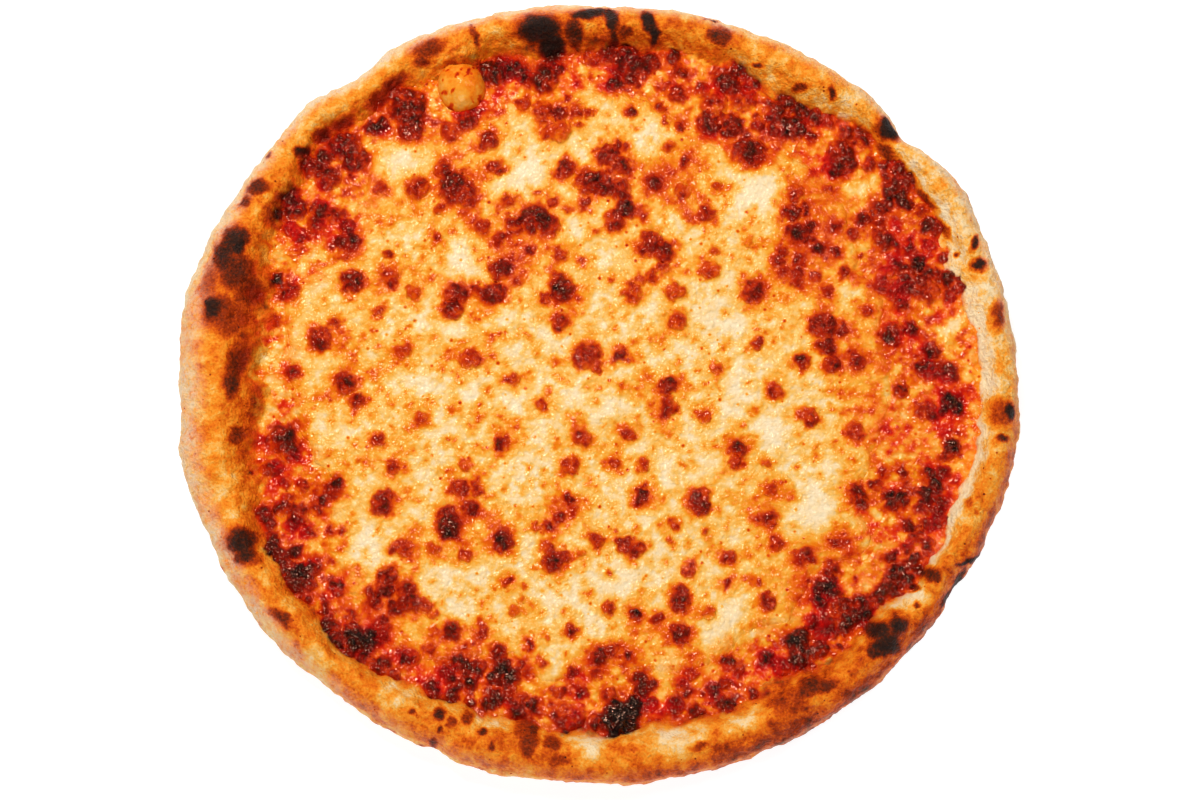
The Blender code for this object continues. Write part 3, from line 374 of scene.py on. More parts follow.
def uneven(x, y, size, seed, layers=4):
    """Waves with ever finer ones on top, each layer turned so that no rows show."""
    total, strength = 0.0, 1.0
    for layer in range(layers):
        turn = 0.7 + 1.9 * layer
        u, v = x * math.cos(turn) - y * math.sin(turn), x * math.sin(turn) + y * math.cos(turn)
        total = total + strength * waves(u, v, size / 2 ** layer, seed + layer)
        strength *= 0.5
    return total / 1.2


def bubbles(x, y, size, seed):
    """Round bubbles packed side by side: 1 at the middle of each and 0 in the creases."""
    jitter = np.random.default_rng(seed).uniform(0.12, 0.88, (64, 64, 2))
    u, v = x / size, y / size
    i, j = np.floor(u).astype(int), np.floor(v).astype(int)
    nearest = np.full(np.shape(u), 9.0)
    for di in (-1, 0, 1):
        for dj in (-1, 0, 1):
            spot = jitter[(i + di) % 64, (j + dj) % 64]
            nearest = np.minimum(nearest, np.hypot(u - i - di - spot[..., 0], v - j - dj - spot[..., 1]))
    return np.clip(1 - (nearest / 0.72) ** 2, 0, 1)


def strongest(x, y, spots, reach, profile):
    """Highest value over a place of round spots (x, y, radius, strength)."""
    result = np.zeros(np.shape(x))
    for sx, sy, radius, strength in spots:
        near = np.nonzero((np.abs(x - sx) < reach * radius) & (np.abs(y - sy) < reach * radius))
        share = np.hypot(x[near] - sx, y[near] - sy) / radius
        result[near] = np.maximum(result[near], strength * profile(share, radius))
    return result


def summed(x, y, parts):
    """Soft round patches added together."""
    total = np.zeros(np.shape(x))
    for px, py, radius, amount in parts:
        total += amount * np.exp(-((x - px) ** 2 + (y - py) ** 2) / radius ** 2)
    return total


# Shape of the pizza


def angle_of(x, y):
    return np.degrees(np.arctan2(y, x))


def rim_edge(angle):
    dents = 0.0
    for at, depth, spread in RIM_DENTS:
        dents = dents + depth * np.exp(-((np.mod(angle - at + 180, 360) - 180) / spread) ** 2)
    return ring_value(RIM_EDGE, angle) + dents


def crest_height(angle):
    width = rim_edge(angle) - ring_value(RIM_FOOT, angle)
    rise = sum(size * np.sin(np.radians(angle) * count + count) for count, size in CREST_WAVES)
    return RIM_LEAST_HEIGHT + RIM_HEIGHT_PER_WIDTH * width + rise


def hump_height(x, y):
    total = np.zeros(np.shape(x))
    for hx, hy, radius, height in RIM_HUMPS:
        total += height * np.clip(1 - ((x - hx) ** 2 + (y - hy) ** 2) / radius ** 2, 0, 1) ** 1.5
    return total


def rolling(x, y):
    broad = 0.35 * np.sin(x / 9 + 1.3) * np.cos(y / 11 - 0.4)
    return broad + 0.3 * np.sin((x + 2 * y) / 19 + 2) * np.cos((2 * x - y) / 23)


def pizza_middle():
    """Middle of the rim's outline, which the CAD part has at its origin."""
    angle = np.arange(0, 360, 2.0)
    x, y = rim_edge(angle) * np.cos(np.radians(angle)), rim_edge(angle) * np.sin(np.radians(angle))
    return np.array([(x.min() + x.max()) / 2, (y.min() + y.max()) / 2, 0.0])


def ragged_cheese_edge(angle):
    """Edge of the cheese with the small tongues and bays of melting."""
    turn = np.radians(angle)
    x, y = 105 * np.cos(turn), 105 * np.sin(turn)
    return ring_value(CHEESE_EDGE, angle) + 1.6 * uneven(x, y, 7, 40, 3)


# Browning of the topping


def small_specks():
    """Small browned specks scattered over the cheese."""
    rng = np.random.default_rng(11)
    specks = []
    for _ in range(SPECK_COUNT):
        radius, turn = SPECK_REACH * math.sqrt(rng.random()), rng.random() * math.tau
        specks.append((radius * math.cos(turn), radius * math.sin(turn), 0.5 + 0.9 * rng.random() ** 2,
                       0.42 + 0.3 * rng.random()))
    return specks


def blister_browning(share, radius):
    """Browned core, orange shoulder and yellow halo of a blister."""
    core = np.interp(share, [0, 0.5, 0.82, 0.94, 1.0], [0.74, 0.69, 0.6, 0.46, 0.42])
    return np.where(share < 1, core, 0.42 * np.exp(-(share - 1) * radius / HALO_WIDTH))


def blister_rise(share, radius):
    return np.clip(1 - share ** 2, 0, 1) * radius


def burnt_and_shaded_browning(x, y):
    """Browning by the burnt places of the rim and by the painted shade at its inner foot on the upper right."""
    wx, wy = x + 0.9 * uneven(x, y, 3.2, 70, 3), y + 0.9 * uneven(x, y, 3.2, 74, 3)
    result = np.zeros(np.shape(x))
    for cx, cy, long, wide, turn, darkness in BURNT_AND_SHADED_PLACES:
        c, s = math.cos(math.radians(turn)), math.sin(math.radians(turn))
        u, v = (wx - cx) * c + (wy - cy) * s, (wy - cy) * c - (wx - cx) * s
        share = np.hypot(u / long, v / wide)
        fade = np.interp(share, [0, 0.6, 0.9, 1.15, 1.5, 2.0], [0.93, 0.88, 0.78, 0.58, 0.42, 0])
        result = np.maximum(result, darkness * fade)
    return result


def topping(x, y):
    """Surface of sauce and cheese: height in mm, and how browned, bubbly and saucy it is."""
    radius, angle = np.hypot(x, y), angle_of(x, y)
    edge = ragged_cheese_edge(angle)
    foot = ring_value(RIM_FOOT, angle)
    wx = x + 1.1 * uneven(x, y, 2.7, 20, 3)
    wy = y + 1.1 * uneven(x, y, 2.7, 24, 3)
    drift = 7.0 * uneven(x, y, 10, 28, 4)
    ring = ramp_up(radius - edge + 0.6 * drift, -9, 5)
    saucy = ring * ramp_up(uneven(x, y, 8, 64, 4), -0.25, 0.55)
    covered = 1 - ramp_up(radius - edge, -3.5, 0.5)

    browned = [(bx, by, r, dark + 2.5 * max(0, dark - 1)) for bx, by, r, dark in BLISTERS]
    blister = strongest(wx, wy, browned, 3.2, blister_browning)
    specks = strongest(wx, wy, small_specks(), 3.5, blister_browning) * (1 - saucy)
    rise = strongest(wx, wy, [(bx, by, 1.05 * r, BLISTER_RISE) for bx, by, r, _ in BLISTERS], 1.0, blister_rise)

    cheese_base = 0.14 + 0.13 * uneven(x, y, 7, 30) + 0.1 * uneven(x, y, 2.2, 35, 3)
    cheese_base = cheese_base + summed(x, y, OILY_PARTS) - summed(x, y, PALE_PARTS)
    sauce_base = 0.36 + 0.22 * uneven(x, y, 6, 50) + 0.2 * uneven(x, y, 2.4, 55, 3)
    base = np.clip(cheese_base, 0.02, 0.5) * (1 - ring) + np.clip(sauce_base, 0.12, 0.72) * ring
    dough_edge = foot - ring_value(APRON, angle)
    near_rim = 0.75 * ramp_up(radius - dough_edge + 2.5 * uneven(x, y, 7, 140, 3), -1, 4)
    at_rim = np.maximum(ring_value(EDGE_BROWNING, angle) + 0.24 * uneven(x, y, 3, 144, 3), 0.33)
    base = base * (1 - near_rim) + at_rim * near_rim
    saucy = saucy * (1 - near_rim)
    brown = base * (1 - np.clip(blister, 0, 1)) + blister
    brown = brown * (1 - np.clip(0.7 * specks, 0, 1)) + 0.85 * specks
    # The rim's burnt places and its painted shade at the inner foot carry over onto the topping next to it.
    brown = np.maximum(brown, burnt_and_shaded_browning(x, y))

    bubbly = np.clip(ramp_up(blister, 0.4, 0.65) + 0.5 * ring * ramp_up(uneven(x, y, 5, 60, 3), -0.3, 0.3), 0, 1)
    small = bubbles(wx, wy, 2.1, 80)
    brown = brown + bubbly * (0.12 * (small - 0.5) + 0.08 * uneven(x, y, 2.2, 84, 2))

    height = SAUCE_TOP + (CHEESE_TOP - SAUCE_TOP) * covered + rolling(x, y) + rise
    height = height + 0.26 * uneven(x, y, 4, 90, 4) + 0.35 * ring * uneven(x, y, 3.4, 95, 3)
    climb = (0.8 + 1.2 * uneven(x, y, 5, 68, 3)) * np.exp(-np.clip(foot - radius, 0, 20) / 3.0)
    climb = climb - 2.5 * ramp_up(radius - foot, 0.6, 2.2)
    height = height + 0.75 * bubbly * small + climb
    return height, brown, bubbly, saucy


def under_caps(x, y):
    """How far the sheets draw back under the finer caps of the blisters, in mm."""
    spots = [(bx, by, r, CAP_TUCK) for bx, by, r, _ in BLISTERS if r >= CAP_LEAST_RADIUS]
    return strongest(x, y, spots, 1.0, lambda share, radius: np.clip((1 - share) * radius / 0.6, 0, 1))


# Meshes


def make_piece(name, points, faces, layers, material, nodes):
    """Mesh piece from points in mm on the photo's own middle, with its named layers of values."""
    mesh = bpy.data.meshes.new(name)
    mesh.from_pydata(((points - pizza_middle()) * MM).tolist(), [], faces)
    for layer, values in layers.items():
        mesh.attributes.new(layer, "FLOAT", "POINT").data.foreach_set("value", values.astype(np.float32))
    mesh.shade_smooth()
    mesh.materials.append(material)
    mesh.validate()
    piece = bpy.data.objects.new(name, mesh)
    bpy.context.scene.collection.objects.link(piece)
    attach(piece, "root")
    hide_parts(*nodes)


def polar_faces(rows, columns, first=0):
    """Quads between rings of points, ring by ring outwards, facing up."""
    ring = np.arange(rows - 1)[:, None] * columns
    here = np.arange(columns)[None, :]
    after = (here + 1) % columns
    quads = np.stack([ring + here, ring + columns + here, ring + columns + after, ring + after], axis=-1)
    return (quads.reshape(-1, 4) + first).tolist()


def fan(middle, first, columns, up):
    """Triangles from a middle point to a ring of points, facing up or down."""
    ring = [(first + k, first + (k + 1) % columns) for k in range(columns)]
    return [(middle, a, b) if up else (middle, b, a) for a, b in ring]


def layered(spare, **layers):
    """Layers of values, with spare values at the end for the points that were added."""
    return {name: np.append(values.ravel(), spare) for name, values in layers.items()}


def make_rim(material):
    """Puffed rim with the dough floor inside it and the sole under it."""
    angle = np.arange(RIM_COLUMNS) * 360 / RIM_COLUMNS
    edge, foot, top = rim_edge(angle), ring_value(RIM_FOOT, angle), crest_height(angle)
    foot_x, foot_y = foot * np.cos(np.radians(angle)), foot * np.sin(np.radians(angle))
    apron = foot - ring_value(APRON, angle) * (1 + 0.4 * uneven(foot_x, foot_y, 9, 152, 3))
    crest = edge - CREST_SHARE * (edge - apron)
    rows = []
    for share in SOLE_SHARES:
        rows.append((share * (edge - SOLE_CURL), 0 * edge, -1.4, 0.0, 0.0))
    for step in range(CURL_STEPS):
        share = step / CURL_STEPS
        height = RIM_BELLY * (1 - math.sqrt(1 - share ** 3))
        rows.append((edge - SOLE_CURL * (1 - share), height + 0 * edge,
                     -1.2 + 0.2 * share, 0.5 * share, -0.2 * share))
    for step in range(OUTER_STEPS):
        turn = math.radians(90 * step / OUTER_STEPS)
        c, s = math.cos(turn), math.sin(turn)
        rows.append((crest + (edge - crest) * c, RIM_BELLY + (top - RIM_BELLY) * s, -1 + step / OUTER_STEPS, c, s))
    for step in range(INNER_STEPS + 1):
        turn = math.radians(90 * step / INNER_STEPS)
        share = step / INNER_STEPS
        fall = share * share * (3 - 2 * share)
        rows.append((crest - (crest - apron) * share, top - (top - APRON_END) * fall,
                     share, -0.5 * math.sin(2 * turn), 1.0 - 0.4 * share))
    rows.append((apron, FLOOR_TOP + 0 * edge, 1.2, 0.0, 0.0))
    radius = np.array([row[0] for row in rows])
    height = np.array([row[1] for row in rows])
    place = np.array([row[2] for row in rows])[:, None] + 0 * radius
    out, up = (np.array([row[k] for row in rows])[:, None] for k in (3, 4))
    c, s = np.cos(np.radians(angle)), np.sin(np.radians(angle))
    along = np.hypot(np.diff(radius, axis=0, prepend=radius[:1]), np.diff(height, axis=0, prepend=height[:1]))
    spread = 2 * edge - np.cumsum(along, axis=0)
    u, v = spread * c, spread * s
    relief = 0.6 * uneven(u, v, 24, 98, 2) + 0.8 * uneven(u, v, 9, 100) + 0.38 * uneven(u, v, 3.2, 105, 3)
    lumpy = ramp_up(place, 0.1, 0.5) * ramp_up(ring_value(STAIN_HEIGHT, angle), 1.5, 4)
    relief = relief + 0.7 * lumpy * bubbles(u, v, 3.4, 160)
    radius = radius + out * relief
    x, y = radius * c, radius * s
    lift = np.clip((height - RIM_BELLY) / 3, 0, 1)
    height = np.maximum(height + lift * hump_height(x, y) + up * relief, 0)
    seen_y = y + (height - READ_HEIGHT) * math.tan(math.radians(CAMERA_TILT))
    toast, flour, sole = rim_browning(x, seen_y, u, v, place, np.broadcast_to(angle, x.shape))
    topping_height, brown, _, saucy = topping(x, y)
    clearance = np.clip(height - topping_height, 0, 9)
    stain = ring_value(STAIN_HEIGHT, angle) * np.clip(1 + 1.1 * uneven(x, y, 5, 148, 3), 0.25, 3)
    oily = np.exp(-clearance / stain) * ramp_up(place, 0.2, 0.5)

    count = len(rows)
    points = np.stack([x, y, height], axis=-1).reshape(-1, 3)
    points = np.vstack([points, [[0, 0, 0], [0, 0, FLOOR_TOP]]])
    faces = [tuple(reversed(face)) for face in polar_faces(count, RIM_COLUMNS)]
    under, above, last = count * RIM_COLUMNS, count * RIM_COLUMNS + 1, (count - 1) * RIM_COLUMNS
    faces += fan(under, 0, RIM_COLUMNS, False) + fan(above, last, RIM_COLUMNS, True)
    layers = {
        "toast": np.append(toast.ravel(), [0.4, 0.4]),
        "flour": np.append(flour.ravel(), [0.4, 0.0]),
        "sole": np.append(sole.ravel(), [1.0, 0.0]),
        "oily": np.append(oily.ravel(), [0.0, 0.0]),
        "browning": np.append(brown.ravel(), [0.4, 0.4]),
        "saucy": np.append(saucy.ravel(), [0.0, 0.0]),
    }
    make_piece("baked_rim", points, faces, layers, material, ["crust"])


def rim_browning(x, seen_y, u, v, place, angle):
    """How toasted and floury the dough is, by place across the rim from -1 outside to 1 inside."""
    outer = np.clip((-place - 0.12) / 0.6, 0, 1)
    inner = np.clip((place - 0.1) / 0.45, 0, 1)
    crest = 1 - outer - inner
    # The outer slope's value brings painted shade at the lower right along with toasting.
    toast = outer * ring_value(OUTER_TOAST_AND_SHADE, angle) + crest * ring_value(CREST_TOAST, angle)
    toast = toast + inner * ring_value(INNER_TOAST, angle) + 0.1 * ramp_up(place, 0.5, 0.9)
    toast = toast + 0.1 * uneven(u, v, 12, 110) + 0.14 * uneven(u, v, 3.2, 115, 3)
    splashed = inner * ramp_up(ring_value(STAIN_HEIGHT, angle), 1.5, 3)
    toast = toast + splashed * (0.05 + 0.32 * np.maximum(uneven(u, v, 4.5, 156, 3), -0.15))
    toast = toast - summed(x, seen_y, PALE_DOUGH)
    # Pale floury line round the widest part, and burnt crumbs of flour just under it
    pale_line = ramp_up(-place, 0.7, 0.86) * (1 - ramp_up(-place, 0.94, 1.02))
    burnt_line = ramp_up(-place, 0.7, 0.95) * (1 - ramp_up(-place, 1.0, 1.15))
    burnt_line = burnt_line * ramp_up(bubbles(u, v, 3.8, 126), 0.35, 0.95) * ramp_up(uneven(u, v, 11, 128, 3), 0, 0.6)
    toast = toast - 0.14 * pale_line + 0.16 * ramp_up(-place, 1.0, 1.15)
    # The burnt places end part way down the sides that the photo doesn't show
    unseen = ramp_up(-place + 0.15 * uneven(u, v, 5, 164, 3), 0.45, 0.8) * ramp_up(seen_y, -40, 0)
    # char also carries the painted shade at the rim's inner foot on the upper right, as well as the burnt places and
    # crumbs.
    char = np.maximum(burnt_and_shaded_browning(x, seen_y) * (1 - unseen), 0.72 * burnt_line)
    toast = np.maximum(np.clip(toast, 0.02, 0.8), char)
    flour = ring_value(FLOUR, angle)
    flour = flour * ramp_up(-place + 0.25 * flour, 0.35, 0.8) * (0.85 + 0.4 * uneven(u, v, 6, 120))
    flour = np.clip(np.maximum(flour, 0.3 * pale_line), 0, 1) * (1 - ramp_up(char, 0.5, 0.75))
    sole = ramp_up(-place, 1.0, 1.2)
    return toast, flour, sole


def make_sauce(material):
    """Sauce ring between cheese and rim, climbing a little up the rim and closed below."""
    angle = np.arange(SAUCE_COLUMNS) * 360 / SAUCE_COLUMNS
    turn = np.radians(angle)
    edge, foot = ragged_cheese_edge(angle), ring_value(RIM_FOOT, angle)
    share = np.linspace(0, 1, SAUCE_ROWS)[:, None]
    radius = (edge - 4) * (1 - share) + (foot + 1.6) * share
    x, y = radius * np.cos(turn), radius * np.sin(turn)
    height, brown, bubbly, saucy = topping(x, y)
    height = height - under_caps(x, y)
    tucked = ramp_up(edge - 0.9 - radius, 0, 3.1)
    height = np.maximum(height - 1.6 * np.clip(edge - 0.9 - radius, 0, 1), SAUCE_UNDER_CHEESE) * (1 - tucked)
    height = height + SAUCE_UNDER_CHEESE * tucked
    points = np.stack([x, y, height], axis=-1).reshape(-1, 3)
    rim = points[-SAUCE_COLUMNS:].copy()
    rim[:, 2] = SAUCE_BOTTOM
    points = np.vstack([points, rim, [[0, 0, SAUCE_UNDER_CHEESE], [0, 0, SAUCE_BOTTOM]]])
    faces = polar_faces(SAUCE_ROWS + 1, SAUCE_COLUMNS)
    above, below, last = len(points) - 2, len(points) - 1, SAUCE_ROWS * SAUCE_COLUMNS
    faces += fan(above, 0, SAUCE_COLUMNS, True) + fan(below, last, SAUCE_COLUMNS, False)
    layers = layered(np.full(SAUCE_COLUMNS + 2, 0.6), browning=brown, bubbly=bubbly, saucy=saucy)
    make_piece("oily_tomato_sauce", points, faces, layers, material, ["tomato_sauce"])


def disc_grid(cells):
    """Square grid bent into a round disc: share of the radius and angle in degrees for each point."""
    side = np.linspace(-1, 1, cells + 1)
    a, b = np.meshgrid(side, side)
    wide = np.abs(a) > np.abs(b)
    share = np.where(wide, a, b)
    safe = np.where(share == 0, 1, share)
    turn = np.where(wide, 45 * b / safe, 90 - 45 * a / safe)
    return np.abs(share), np.where(share < 0, turn + 180, turn)


def make_cheese(material):
    """Sheet of melted cheese, rounded down into the sauce at its edge and closed below."""
    share, angle = disc_grid(CHEESE_CELLS)
    edge = ragged_cheese_edge(angle)
    radius = share * edge
    x, y = radius * np.cos(np.radians(angle)), radius * np.sin(np.radians(angle))
    height, brown, bubbly, saucy = topping(x, y)
    height = height - under_caps(x, y) - np.clip(radius - edge + 0.8, 0, 0.8)
    height = np.maximum(height, CHEESE_BOTTOM + 0.1)
    n = CHEESE_CELLS + 1
    points = np.stack([x, y, height], axis=-1).reshape(-1, 3)
    index = np.arange(n * n).reshape(n, n)
    quads = np.stack([index[:-1, :-1], index[:-1, 1:], index[1:, 1:], index[1:, :-1]], axis=-1)
    faces = quads.reshape(-1, 4).tolist()
    border = np.concatenate([index[0, :-1], index[:-1, -1], index[-1, :0:-1], index[:0:-1, 0]])
    low = points[border].copy()
    low[:, 2] = CHEESE_BOTTOM
    first, below = n * n, n * n + len(border)
    points = np.vstack([points, low, [[0, 0, CHEESE_BOTTOM]]])
    for k in range(len(border)):
        after = (k + 1) % len(border)
        faces.append((int(border[after]), int(border[k]), first + k, first + after))
    faces += fan(below, first, len(border), False)
    layers = layered(np.full(len(border) + 1, 0.2), browning=brown, bubbly=bubbly, saucy=saucy)
    make_piece("blistered_cheese", points, faces, layers, material, ["melted_cheese"])


def make_caps(name, spots, spacing, material, node):
    """Finer skins of the browned blisters, each one closed and let into the sheet round it."""
    flat, faces = [], []
    for bx, by, radius, _ in spots:
        rings = math.ceil(radius / spacing) + 1
        spokes = math.ceil(math.tau * 0.8 * radius / spacing)
        first = len(flat)
        for ring in range(rings + 1):
            reach = radius * min(1.0, (ring + 0.5) / (rings - 0.5))
            sunk = CAP_TUCK if ring == rings else 0.0
            for spoke in range(spokes):
                turn = math.tau * (spoke + 0.5 * ring) / spokes
                flat.append((bx + reach * math.cos(turn), by + reach * math.sin(turn), sunk))
        faces += polar_faces(rings + 1, spokes, first)
        above, below, last = len(flat), len(flat) + 1, first + rings * spokes
        faces += fan(above, first, spokes, True) + fan(below, last, spokes, False)
        flat += [(bx, by, 0.0), (bx, by, 2 * CAP_TUCK + 0.1 * radius)]
    flat = np.array(flat)
    x, y = flat[:, 0], flat[:, 1]
    height, brown, bubbly, saucy = topping(x, y)
    points = np.stack([x, y, height - flat[:, 2]], axis=-1)
    layers = {"browning": brown, "bubbly": bubbly, "saucy": saucy}
    make_piece(name, points, faces, layers, material, [node])


def make_dough_bubble(material):
    """Big smooth golden bubble of dough inside the rim."""
    rings, spokes = 26, 96
    share = np.linspace(0.02, 1, rings)[:, None]
    turn = np.arange(spokes) * math.tau / spokes
    rise = share * math.pi / 2 * 1.12
    radius = BUBBLE_RADIUS * np.sin(rise) * (1 + 0.05 * np.cos(2 * turn + 1) + 0.03 * np.cos(3 * turn))
    x, y = BUBBLE_MIDDLE[0] + radius * np.cos(turn), BUBBLE_MIDDLE[1] + 1.2 * radius * np.sin(turn)
    height = 6.2 + 7.6 * np.cos(rise) + 0.35 * uneven(x, y, 4, 130, 3)
    points = np.stack([x, y, height], axis=-1).reshape(-1, 3)
    ends = [(*BUBBLE_MIDDLE, points[:spokes, 2].mean()), (*BUBBLE_MIDDLE, points[-spokes:, 2].min())]
    points = np.vstack([points, ends])
    above, below, last = rings * spokes, rings * spokes + 1, (rings - 1) * spokes
    faces = polar_faces(rings, spokes) + fan(above, 0, spokes, True) + fan(below, last, spokes, False)
    brown = 0.35 + 0.1 * uneven(x, y, 5, 134, 3) + 0.26 * ramp_up(share, 0.55, 1)
    brown = brown + 0.3 * ramp_up(uneven(x, y, 2.2, 138, 2), 0.4, 0.65)
    layers = {
        "browning": np.append(brown.ravel(), [0.31, 0.5]),
        "bubbly": np.zeros(len(points)),
        "saucy": np.full(len(points), 0.2),
    }
    make_piece("dough_bubble", points, faces, layers, material, ["crust"])


# Materials


def linear(hex_colour):
    """Linear colour from an sRGB hex value."""
    parts = [int(hex_colour[k:k + 2], 16) / 255 for k in (0, 2, 4)]
    return [p / 12.92 if p <= 0.04045 else ((p + 0.055) / 1.055) ** 2.4 for p in parts] + [1.0]


def per_mm(size):
    """Texture scale for a pattern of the given size in mm."""
    return 1 / (size * MM)


def add_node(tree, kind, values=None, links=None, stops=None, **settings):
    """Adds a shader node with its settings, socket values, colour stops and links from sockets or nodes."""
    node = tree.nodes.new("ShaderNode" + kind)
    for name, setting in settings.items():
        setattr(node, name, setting)
    for socket, value in (values or {}).items():
        node.inputs[socket].default_value = value
    for socket, source in (links or {}).items():
        tree.links.new(getattr(source, "outputs", [source])[0], node.inputs[socket])
    for k, (place, colour) in enumerate(stops or []):
        stop = node.color_ramp.elements[k] if k < 2 else node.color_ramp.elements.new(place)
        stop.position, stop.color = place, linear(colour)
    return node


def start_material(name):
    material = bpy.data.materials.new(name)
    material.use_nodes = True
    material.node_tree.nodes.clear()
    return material, material.node_tree


def finish_material(tree, shader):
    add_node(tree, "OutputMaterial", links={"Surface": shader.outputs[0]})


def baked_wheat_dough():
    """Wheat dough baked in a hot oven: golden skin with fine pits, matte flour outside and dull char."""
    material, tree = start_material("baked_wheat_dough")
    place = add_node(tree, "TexCoord").outputs["Object"]
    toast, flour, sole, oily = (add_node(tree, "Attribute", attribute_name=layer).outputs["Fac"]
                                for layer in ("toast", "flour", "sole", "oily"))
    # Mottling of the skin, 1.6 mm, and specks of burnt flour, drawn 2.3 mm apart so that they show
    mottle = add_node(tree, "TexNoise", {"Scale": per_mm(1.6), "Detail": 4.0, "Roughness": 0.65},
                      {"Vector": place}).outputs["Fac"]
    specks = add_node(tree, "TexVoronoi", {"Scale": per_mm(2.3)}, {"Vector": place})
    # Leopard spots where the sole lay on the oven floor, 14 mm
    spots = add_node(tree, "TexNoise", {"Scale": per_mm(14), "Detail": 4.0}, {"Vector": place}).outputs["Fac"]
    spots = add_node(tree, "MapRange", {"From Min": 0.54, "From Max": 0.68, "To Max": 0.5},
                     {"Value": spots}, interpolation_type="SMOOTHSTEP")
    spots = add_node(tree, "Math", links={0: spots, 1: sole}, operation="MULTIPLY")
    # Grain of tiny toasted blisters, 0.9 mm
    grain = add_node(tree, "TexNoise", {"Scale": per_mm(0.9), "Detail": 2.0}, {"Vector": place}).outputs["Fac"]
    mottled = add_node(tree, "Math", {1: 0.3}, {0: mottle, 2: toast}, operation="MULTIPLY_ADD")
    mottled = add_node(tree, "Math", {1: -0.32}, {0: grain, 2: mottled}, operation="MULTIPLY_ADD")
    speck_size = add_node(tree, "SeparateColor", links={0: specks.outputs["Color"]})
    speck = add_node(tree, "Math", {1: 0.7, 2: -0.47}, {0: speck_size}, operation="MULTIPLY_ADD")
    speck = add_node(tree, "Math", links={0: speck, 1: specks.outputs["Distance"]},
                     operation="SUBTRACT")
    speck = add_node(tree, "MapRange", {"From Min": 0.0, "From Max": 0.14, "To Max": 0.42},
                     {"Value": speck})
    browned = add_node(tree, "Math", links={0: mottled, 1: spots}, operation="ADD")
    browned = add_node(tree, "Math", links={0: browned, 1: speck}, operation="ADD", use_clamp=True)
    skin = add_node(tree, "ValToRGB", links={0: browned}, stops=DOUGH_COLOURS)
    # Dusting of flour, 1.5 mm
    dust = add_node(tree, "TexNoise", {"Scale": per_mm(1.5), "Detail": 4.0, "Roughness": 0.7},
                    {"Vector": place}).outputs["Fac"]
    dust = add_node(tree, "MapRange", {"From Min": 0.32, "From Max": 0.56}, {"Value": dust})
    dust = add_node(tree, "Math", links={0: dust, 1: flour}, operation="MULTIPLY")
    dust = add_node(tree, "Math", links={0: dust, 1: speck}, operation="SUBTRACT", use_clamp=True)
    floury = add_node(tree, "Mix", {7: linear(FLOUR_COLOUR)}, {"Factor": dust, 6: skin},
                      data_type="RGBA").outputs[2]
    # Where the oil of the topping has soaked in, the dough takes on the topping's colours
    _, soaked = topping_colour(tree, place)
    colour = add_node(tree, "Mix", links={"Factor": oily, 6: floury, 7: soaked}, data_type="RGBA")
    # Pits of the skin, 1.4 mm
    pits = add_node(tree, "TexVoronoi", {"Scale": per_mm(1.4)}, {"Vector": place}).outputs["Distance"]
    relief = add_node(tree, "Math", {1: 0.4}, {0: pits, 2: grain}, operation="MULTIPLY_ADD")
    bump = add_node(tree, "Bump", {"Strength": 0.9, "Distance": 0.9 * MM}, {"Height": relief})
    rough = add_node(tree, "MapRange", {"From Min": 0.0, "From Max": 1.0, "To Min": 0.5, "To Max": 0.85},
                     {"Value": dust})
    rough = add_node(tree, "Math", {1: -0.26}, {0: oily, 2: rough}, operation="MULTIPLY_ADD")
    shader = add_node(
        tree, "BsdfPrincipled",
        {"IOR": 1.45, "Specular IOR Level": 0.2, "Specular Tint": linear(OIL_TINT)},
        {"Base Color": colour.outputs[2], "Roughness": rough, "Normal": bump.outputs[0]},
    )
    finish_material(tree, shader)
    return material


def topping_colour(tree, place):
    """Browned value and colour of the topping, from cream over orange oil to dark red blisters."""
    browning, saucy = (add_node(tree, "Attribute", attribute_name=layer).outputs["Fac"]
                       for layer in ("browning", "saucy"))
    mottle = add_node(tree, "TexNoise", {"Scale": per_mm(1.8), "Detail": 5.0, "Roughness": 0.6},
                      {"Vector": place}).outputs["Fac"]
    # Dots of browned fat, drawn from 0.3 to 0.9 mm so that they show
    dots = add_node(tree, "TexVoronoi", {"Scale": per_mm(3.2)}, {"Vector": place})
    dot_size = add_node(tree, "SeparateColor", links={0: dots.outputs["Color"]})
    dot = add_node(tree, "Math", {1: 0.42, 2: -0.12}, {0: dot_size}, operation="MULTIPLY_ADD")
    dot = add_node(tree, "Math", links={0: dot, 1: dots.outputs["Distance"]}, operation="SUBTRACT")
    dot = add_node(tree, "MapRange", {"From Min": 0.0, "From Max": 0.24, "To Max": 0.42},
                   {"Value": dot})
    on_pale = add_node(tree, "MapRange", {"From Min": 0.35, "From Max": 0.55, "To Min": 1.0, "To Max": 0.0},
                       {"Value": browning})
    dot = add_node(tree, "Math", links={0: dot, 1: on_pale}, operation="MULTIPLY")
    browned = add_node(tree, "Math", {1: 0.3}, {0: mottle, 2: browning}, operation="MULTIPLY_ADD")
    browned = add_node(tree, "Math", {1: 0.15}, {0: browned}, operation="SUBTRACT")
    browned = add_node(tree, "Math", links={0: browned, 1: dot}, operation="ADD", use_clamp=True)
    cheese = add_node(tree, "ValToRGB", links={0: browned}, stops=CHEESE_COLOURS)
    sauce = add_node(tree, "ValToRGB", links={0: browned}, stops=SAUCE_COLOURS)
    colour = add_node(tree, "Mix", links={"Factor": saucy, 6: cheese, 7: sauce}, data_type="RGBA").outputs[2]
    return browned, colour


